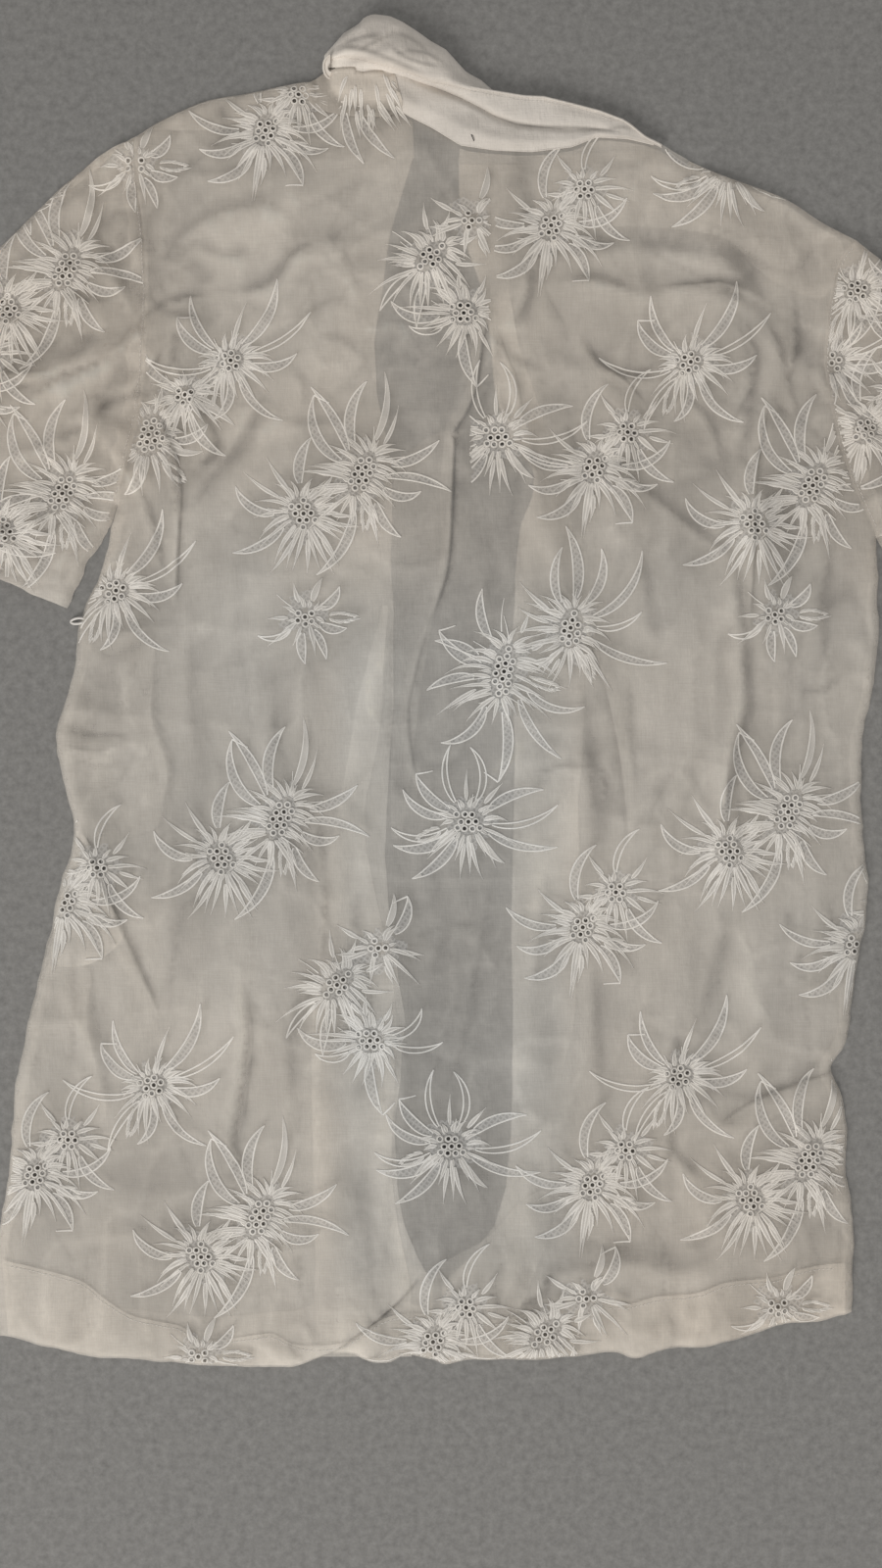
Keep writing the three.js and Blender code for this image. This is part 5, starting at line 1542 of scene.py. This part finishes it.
# painted shade along the collar's creases, lighter on the puffed part, darker towards the tip, and random mottling
def collar_tone(x, y):
    out = np.ones_like(x)
    for line, depth, w in COLLAR_CREASES:
        d, s_, t = near(x, y, line)
        total = np.linalg.norm(np.diff(line, axis=0), axis=1).sum()
        fade = 0.2 + 0.8 * smooth(0, 0.25 * total, t) * smooth(0, 0.25 * total, total - t)
        out -= 0.55 * depth * fade * np.exp(-(d / w) ** 2)
    puff_part = smooth(mm(0, 84)[1], mm(0, 70)[1], y) * smooth(mm(500, 0)[0], mm(470, 0)[0], x)
    out = out * (1 - 0.17 * smooth(mm(604, 0)[0], mm(640, 0)[0], x))
    return out * (1 + 0.14 * puff_part) + 0.09 * fbm(x / 14, y / 11, 231, 3)


def round_end(x, y_low, y_high, y):
    """Draws rows together at the collar's left end, so that it is round."""
    u = np.clip((x - xs[0]) / 9.0, 0, 1)
    k = np.sqrt(1 - (1 - u) ** 2)
    mid = 0.35 * y_low + 0.65 * y_high
    return mid + (y - mid) * (0.12 + 0.88 * k)


end_drop = smooth(-1, 8, xs - xs[0])
ry, rz = [], []
SR = 16
sharp = smooth(mm(400, 0)[0], mm(450, 0)[0], xs) * smooth(mm(640, 0)[0], mm(600, 0)[0], xs)
for i in range(SR + 1):
    t = (i / SR) ** 0.8
    y = seam_y + (crease_y - seam_y) * t
    to_crease = crease_y - y
    z = 2.4 + rise * (4.6 * smooth(-0.1, 0.45, t) ** 0.8 + (1 - sharp) * 2.4 * t)
    z = z - rise * sharp * 2.6 * np.exp(-(to_crease / 2.0) ** 2)
    z = z + crumple(xs, y, 1.25) * min(1, 4 * t + 0.15) * rise
    z = 1.4 + (z - 1.4) * end_drop
    ry.append(round_end(xs, seam_y, crease_y, y))
    rz.append(z)
stand = grid(ry, rz, xs, "collar_stand_cloth", M_COLLAR)
crease_z = rz[-1]
ry, rz = [], []
FR = 12
for i in range(FR + 1):
    t = (i / FR) ** 1.3
    y = crease_y + (edge_yy - crease_y) * t
    up = y - crease_y
    lift = rise * (2.6 * sharp * (1 - np.exp(-(up / 1.6) ** 1.2)) + 3.4 * t ** 0.8)
    z = crease_z + 0.05 + lift + crumple(xs, y + 40, 0.9) * t * rise
    z = 1.4 + (z - 1.4) * end_drop
    ry.append(round_end(xs, crease_y, edge_yy, y))
    rz.append(z)
fall = grid(ry, rz, xs, "collar_fall_cloth", M_COLLAR)
fall_top = np.column_stack([xs, ry[-1], rz[-1]])

# the shoulder's embroidered cloth, drawn up over the collar's left end
over_edge = spline(pts((306, 98), (314, 88), (325, 81), (331, 76), (335, 69), (345, 63), (366, 62), (382, 66), (394, 72),
                       (403, 84), (407, 98), (411, 112), (398, 120), (380, 122), (352, 120), (326, 114), (306, 98)), 3.0)[:-1]
stand_tree = BVHTree.FromPolygons([tuple(1000 * c for c in p.co) for p in stand.data.vertices],
                                  [tuple(p.vertices) for p in stand.data.polygons])


def on_stand(x, y):
    z = height(x, y) + 0.5
    for i, (a, b) in enumerate(zip(x, y)):
        hit = stand_tree.ray_cast(Vector((a, b, 60.0)), DOWN)
        if hit[0] is not None:
            z[i] = max(z[i], hit[0].z + 0.7)
    return z


o2, of = triangulate(over_edge, 2.6, [], [], 91)
oz = on_stand(o2[:, 0], o2[:, 1])
d_edge = near(o2[:, 0], o2[:, 1], np.vstack([over_edge, over_edge[:1]]))[0]
oz = np.maximum(oz + 0.8 * fbm(o2[:, 0] / 9, o2[:, 1] / 9, 93, 2) * smooth(0, 5, d_edge), 0.8)
o3 = np.column_stack([o2, oz])
# a little darker overall, random mottling, and painted shade in its hollows
over_collar = place("shoulder_over_collar", o3, of, M_OVER_SHADED,
                    shade=0.94 + 0.08 * fbm(o2[:, 0] / 16, o2[:, 1] / 10, 95, 3) + hollows(o3, of))
over_tree = BVHTree.FromPolygons([tuple(p) for p in o3], [tuple(int(i) for i in t) for t in of])
solid, net = [], []
neck_rng = np.random.default_rng(4300)
for i in range(21):         # a fan of short petals spread over the drawn-up cloth by rule
    u, v = (i * 0.618 + neck_rng.uniform(-0.03, 0.03)) % 1, neck_rng.uniform(0, 1)
    petal((*mm(349 + 60 * u, 80 + 38 * v), 244 + 78 * u + neck_rng.uniform(-14, 14), neck_rng.uniform(14, 20), 14 - 30 * u, 2.5, "ray"), solid, net)
for i in range(2):
    petal((*mm(350 + 26 * neck_rng.random(), 114 + 8 * neck_rng.random()), neck_rng.uniform(256, 312), neck_rng.uniform(18, 38),
           neck_rng.uniform(18, 44), 4.4, "net"), solid, net)


def on_neck(v, lift):
    out = v.copy()
    for i, (x, y, z) in enumerate(v):
        hit = over_tree.ray_cast(Vector((x, y, 60.0)), DOWN)
        low = float(height(np.array([x]), np.array([y]))[0])
        out[i, 2] = z + lift + (max(low, hit[0].z) if hit[0] is not None else low)
    return out


bag = Bag()
for v, f, w in solid:
    v = v.copy()
    v[:, 2] += layer.uniform(0.0, 0.25)
    bag.add(v, f, w)
V, F = bag.arrays()
embroidery.append((place("embroidery_neck", on_neck(V, 0.12), F, M_THREAD, True, M_SATIN_SHADED, bag.w), "back_neck"))
bag = Bag()
for v, f, w in net:
    bag.add(v, f)
V, F = bag.arrays()
embroidery.append((place("net_fill_neck", on_neck(V, 0.08), F, M_NET), "back_neck"))

# far half, bulging behind the free edge and coming down on the surface
fx = np.arange(mm(331, 0)[0], mm(506, 0)[0], 2.4)
near_y = by_x(TOP_EDGE, fx) - 2.5
far_y = by_x(FAR_EDGE, fx)
near_z = np.interp(fx, xs, rz[-1]) - 2.2
full = np.interp(fx, [mm(p, 0)[0] for p in (331, 345, 372, 410, 450, 476, 490, 506)],
                 [0.30, 0.62, 1.0, 1.0, 0.78, 0.5, 0.34, 0.16])
ry, rz = [], []
ER = 26
for i in range(ER + 1):
    t = i / ER
    y = near_y + (far_y - near_y) * (1 - (1 - t) ** 1.15)
    q = 2 * t - 1.05
    hump = 15.0 * max(0.0, 1 - abs(q) ** 3.2) ** 0.55
    z = full * hump + near_z * (1 - t) ** 1.6 * 0.9 + 0.35
    # a valley that runs up and across, as the band twists
    vx = mm(384, 0)[0] + (y - mm(0, 50)[1]) * 1.35
    z = z - full * 3.2 * np.exp(-((fx - vx) / 5.5) ** 2) * math.sin(math.pi * t) ** 0.7
    z = z - full * 2.2 * np.exp(-((fx - mm(470, 0)[0]) / 6.0) ** 2) * math.sin(math.pi * t)
    z = z + crumple(fx, y + 80, 2.3) * math.sin(math.pi * t) ** 0.6 * full
    ry.append(y)
    rz.append(np.maximum(z, 0.3))
end = grid(ry, rz, fx, "collar_end_cloth", M_COLLAR)


def tube(path, r, sides=6):
    path = np.asarray(path, float)
    d = np.gradient(path, axis=0)
    d /= np.linalg.norm(d, axis=1)[:, None] + 1e-9
    up = np.array([0, 0, 1.0])
    s = np.cross(d, up)
    s /= np.linalg.norm(s, axis=1)[:, None] + 1e-9
    u = np.cross(s, d)
    v, f = [], []
    r = np.broadcast_to(r, len(path))
    for i in range(sides):
        a = 2 * math.pi * i / sides
        v.append(path + s * (r * math.cos(a))[:, None] + u * (r * math.sin(a))[:, None])
    v = np.stack(v, 1).reshape(-1, 3)
    n = len(path)
    for i in range(n - 1):
        for j in range(sides):
            k = (j + 1) % sides
            f.append((i * sides + j, i * sides + k, (i + 1) * sides + k, (i + 1) * sides + j))
    f.append(tuple(range(sides)))
    f.append(tuple((n - 1) * sides + j for j in range(sides))[::-1])
    return v, f


# edges of the collar and the rolled end at its left
trim = Bag()
trim_faces = []


def add_tube(bag_list, v, f):
    bag_list.append((v, f))


trims = []
add_tube(trims, *tube(fall_top + (0, 0, 0.1), 0.75))
low = np.column_stack([xs, seam_y, 2.6 + 0 * xs])
add_tube(trims, *tube(low[3:-2], 0.55))
loop = []
cx0, cy0 = mm(331, 72)
for i in range(25):
    a = math.radians(60 + 300 * i / 24)
    loop.append((cx0 + 1.5 + 3.2 * math.cos(a) * 0.8, cy0 + 0.5 + 6.6 * math.sin(a), 5.2 + 3.4 * math.cos(a + 0.6)))
v = drawn_in(np.concatenate([t[0] for t in trims]))
faces, n = [], 0
for tv, tf in trims:
    faces += [tuple(i + n for i in q) for q in tf]
    n += len(tv)
collar_trim = place("collar_edge", v, faces, M_COLLAR)

# rolled left end: the stitched edge turns down and under itself
la = np.radians(np.linspace(100, 292, 26))
lx, ly = mm(338.5, 69)
path = np.column_stack([lx + 4.9 * np.cos(la), ly + 7.0 * np.sin(la), 8.5 + 4.2 * np.sin(la - 0.2)])
rv, rf = tube(path, 0.8, 8)
# the face inside the loop
ring = path + (0.2, 0, -0.1)
mid = ring.mean(0) + (1.5, 0.4, 0.8)
k0 = len(rv)
inner = np.vstack([mid + (ring - mid) * q for q in (0.0, 0.35, 0.7, 1.0)])
rv = np.vstack([rv, inner])
m_ = len(ring)
rf = list(rf) + [(k0 + j * m_ + i, k0 + j * m_ + i + 1, k0 + (j + 1) * m_ + i + 1, k0 + (j + 1) * m_ + i)
                 for j in range(1, 3) for i in range(m_ - 1)]
used = sorted({i for q in rf for i in q})
remap = {i: j for j, i in enumerate(used)}
rv = rv[used]
rf = [tuple(remap[i] for i in q) for q in rf]
roll = place("collar_rolled_end", drawn_in(rv), rf, M_COLLAR)

# ------------------------------------------------------------------ stitches and loose threads
stitch_bag = []


def stitch_row(line, zfun, pitch=2.6, ln=1.7, r=0.17, lift=0.18):
    s = np.concatenate([[0], np.cumsum(np.linalg.norm(np.diff(line, axis=0), axis=1))])
    for k in np.arange(0.5, s[-1] - ln, pitch):
        q = np.array([[np.interp(k + ln * u, s, line[:, 0]), np.interp(k + ln * u, s, line[:, 1])] for u in (0, 0.5, 1)])
        z = zfun(q[:, 0], q[:, 1]) + lift * np.array([0.3, 1, 0.3])
        stitch_bag.append(tube(np.column_stack([q, z]), r, 4))


def offset_line(line, d):
    g = np.gradient(line, axis=0)
    g /= np.linalg.norm(g, axis=1)[:, None] + 1e-9
    return line + np.stack([-g[:, 1], g[:, 0]], 1) * d


stitch_row(hl[2:-2] + (0, -1.6), height)
stitch_row(offset_line(arm_l, 1.6)[2:-2], height)
stitch_row(offset_line(arm_r, -1.6)[2:-2], height)
col_z = lambda x, y: np.interp(x, fall_top[:, 0], fall_top[:, 2]) - 0.35
collar_from = len(stitch_bag)
stitch_row(np.column_stack([xs, edge_yy - 2.6])[6:-12], col_z, 2.4, 1.6, 0.15, 0.25)
stitch_bag[collar_from:] = [(drawn_in(a), b) for a, b in stitch_bag[collar_from:]]
v = np.concatenate([t[0] for t in stitch_bag])
faces, n = [], 0
for tv, tf in stitch_bag:
    faces += [tuple(i + n for i in q) for q in tf]
    n += len(tv)
stitches = place("seam_stitches", v, faces, M_STITCH)

loop_path = []
for i in range(22):
    t = i / 21
    a = math.pi * 2 * t * 0.92 + 0.3
    bx, by = mm(82, 634)
    loop_path.append((bx + 4.6 * math.cos(a) - 1.0, by + 1.7 * math.sin(a) + 0.4 * math.cos(a), 1.5 + 0.8 * math.sin(a * 1.5)))
v, f = tube(np.array(loop_path), 0.75, 6)
thread_loop = place("seam_tape_loop", v, f, M_STITCH)
bits = []
x0, y0 = mm(482, 145)
zc = float(np.interp(x0, xs, seam_y) * 0 + 6.0)
bits.append(tube([(x0 - 0.8, y0 + 2.4, 5.4), (x0, y0 + 0.6, 5.8), (x0 + 0.9, y0 - 1.4, 5.0)], 0.3, 5))
for px in (532, 536.5):
    x0, y0 = mm(px, 151.3)
    bits.append(tube([(x0 - 0.5, y0, 3.4), (x0, y0, 3.9), (x0 + 0.5, y0 + 0.1, 3.4)], 0.3, 5))
v = np.concatenate([t[0] for t in bits])
faces, n = [], 0
for tv, tf in bits:
    faces += [tuple(i + n for i in q) for q in tf]
    n += len(tv)
dark_bits = place("loose_threads", v, faces, M_DARK)

# ------------------------------------------------------------------ stage
fm, nt, b = nodes_of("studio_floor")
co = nt.nodes.new("ShaderNodeTexCoord").outputs["Object"]
fl = noise(nt, co, 190, (1, 1, 1), 5.0, 0.75)
link(nt, ramp(nt, fl, 0.3, 0.7, (0.21, 0.206, 0.20), (0.325, 0.32, 0.31)), b.inputs["Base Color"])
b.inputs["Roughness"].default_value = 0.95
b.inputs["Specular IOR Level"].default_value = 0.1
floor_v = [(-6000, -6000, 0), (6000, -6000, 0), (6000, 6000, 0), (-6000, 6000, 0)]
floor = place("floor", floor_v, [(0, 1, 2, 3)], fm, False)

world = bpy.data.worlds.new("soft")
world.use_nodes = True
world.node_tree.nodes["Background"].inputs[0].default_value = (1.0, 0.985, 0.96, 1)
world.node_tree.nodes["Background"].inputs[1].default_value = 0.27
bpy.context.scene.world = world


def area_light(name, loc, target, size, power, colour):
    d = bpy.data.lights.new(name, "AREA")
    d.shape = "DISK"
    d.size = size
    d.energy = power
    d.color = colour
    o = bpy.data.objects.new(name, d)
    bpy.context.scene.collection.objects.link(o)
    o.location = loc
    o.rotation_euler = (Vector(target) - Vector(loc)).to_track_quat("-Z", "Y").to_euler()
    return o


area_light("key", (-2.0, -3.2, 2.25), (0, 0, 0), 2.3, 122, (1.0, 0.975, 0.94))
area_light("fill", (0.9, 1.2, 1.8), (0, 0, 0), 1.6, 3, (1.0, 0.985, 0.96))
area_light("top", (-0.1, 0.0, 2.4), (0, 0, 0), 1.6, 6, (1.0, 0.985, 0.96))

cam = bpy.data.cameras.new("camera")
cam.sensor_fit = "VERTICAL"
cam.sensor_height = 36.0
DIST = 0.95
cam.lens = 36.0 * DIST / 0.96
camera = bpy.data.objects.new("camera", cam)
bpy.context.scene.collection.objects.link(camera)
cxm, cym = mm(450, 800)
camera.location = (cxm * 0.001, cym * 0.001, DIST)
camera.rotation_euler = (0, 0, 0)
bpy.context.scene.camera = camera
bpy.context.scene.view_settings.view_transform = "Standard"

# ------------------------------------------------------------------ who rides and stands for what
every = doubled + [back, front_l, front_r, facing_l, facing_r, hem_back, fhem_l, fhem_r, folds_under, seam_cloth, over_collar, shoulder, stand, fall, end,
         collar_trim, roll, stitches, thread_loop, dark_bits]
every += list(sleeve_obs.values()) + [ob for ob, _ in embroidery]
for ob in every:
    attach(ob, "root")

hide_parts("back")
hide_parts("front_left")
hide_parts("front_right")
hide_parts("facing_left")
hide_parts("facing_right")
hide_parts("sleeve_left")
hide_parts("sleeve_right")
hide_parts("collar_stand")
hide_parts("collar_fall")
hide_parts("collar_end_left")

for ob in every:
    if ob.name in ("seam_stitches", "seam_tape_loop", "loose_threads", "collar_edge") or ob.name.startswith(("embroidery", "net_fill", "eyelet")):
        continue
    co = np.zeros(len(ob.data.vertices) * 3)
    ob.data.vertices.foreach_get("co", co)
    co = co.reshape(-1, 3)
    w, l = (co.max(0) - co.min(0))[:2]
    a = area_of(ob)
    print("SHEET", ob.name, round(float(w), 4), round(float(l), 4), round(a, 5), round(a / (w * l), 3), len(ob.data.polygons))

print("TRIS", {o.name: sum(len(p.vertices) - 2 for p in o.data.polygons) for o in every})
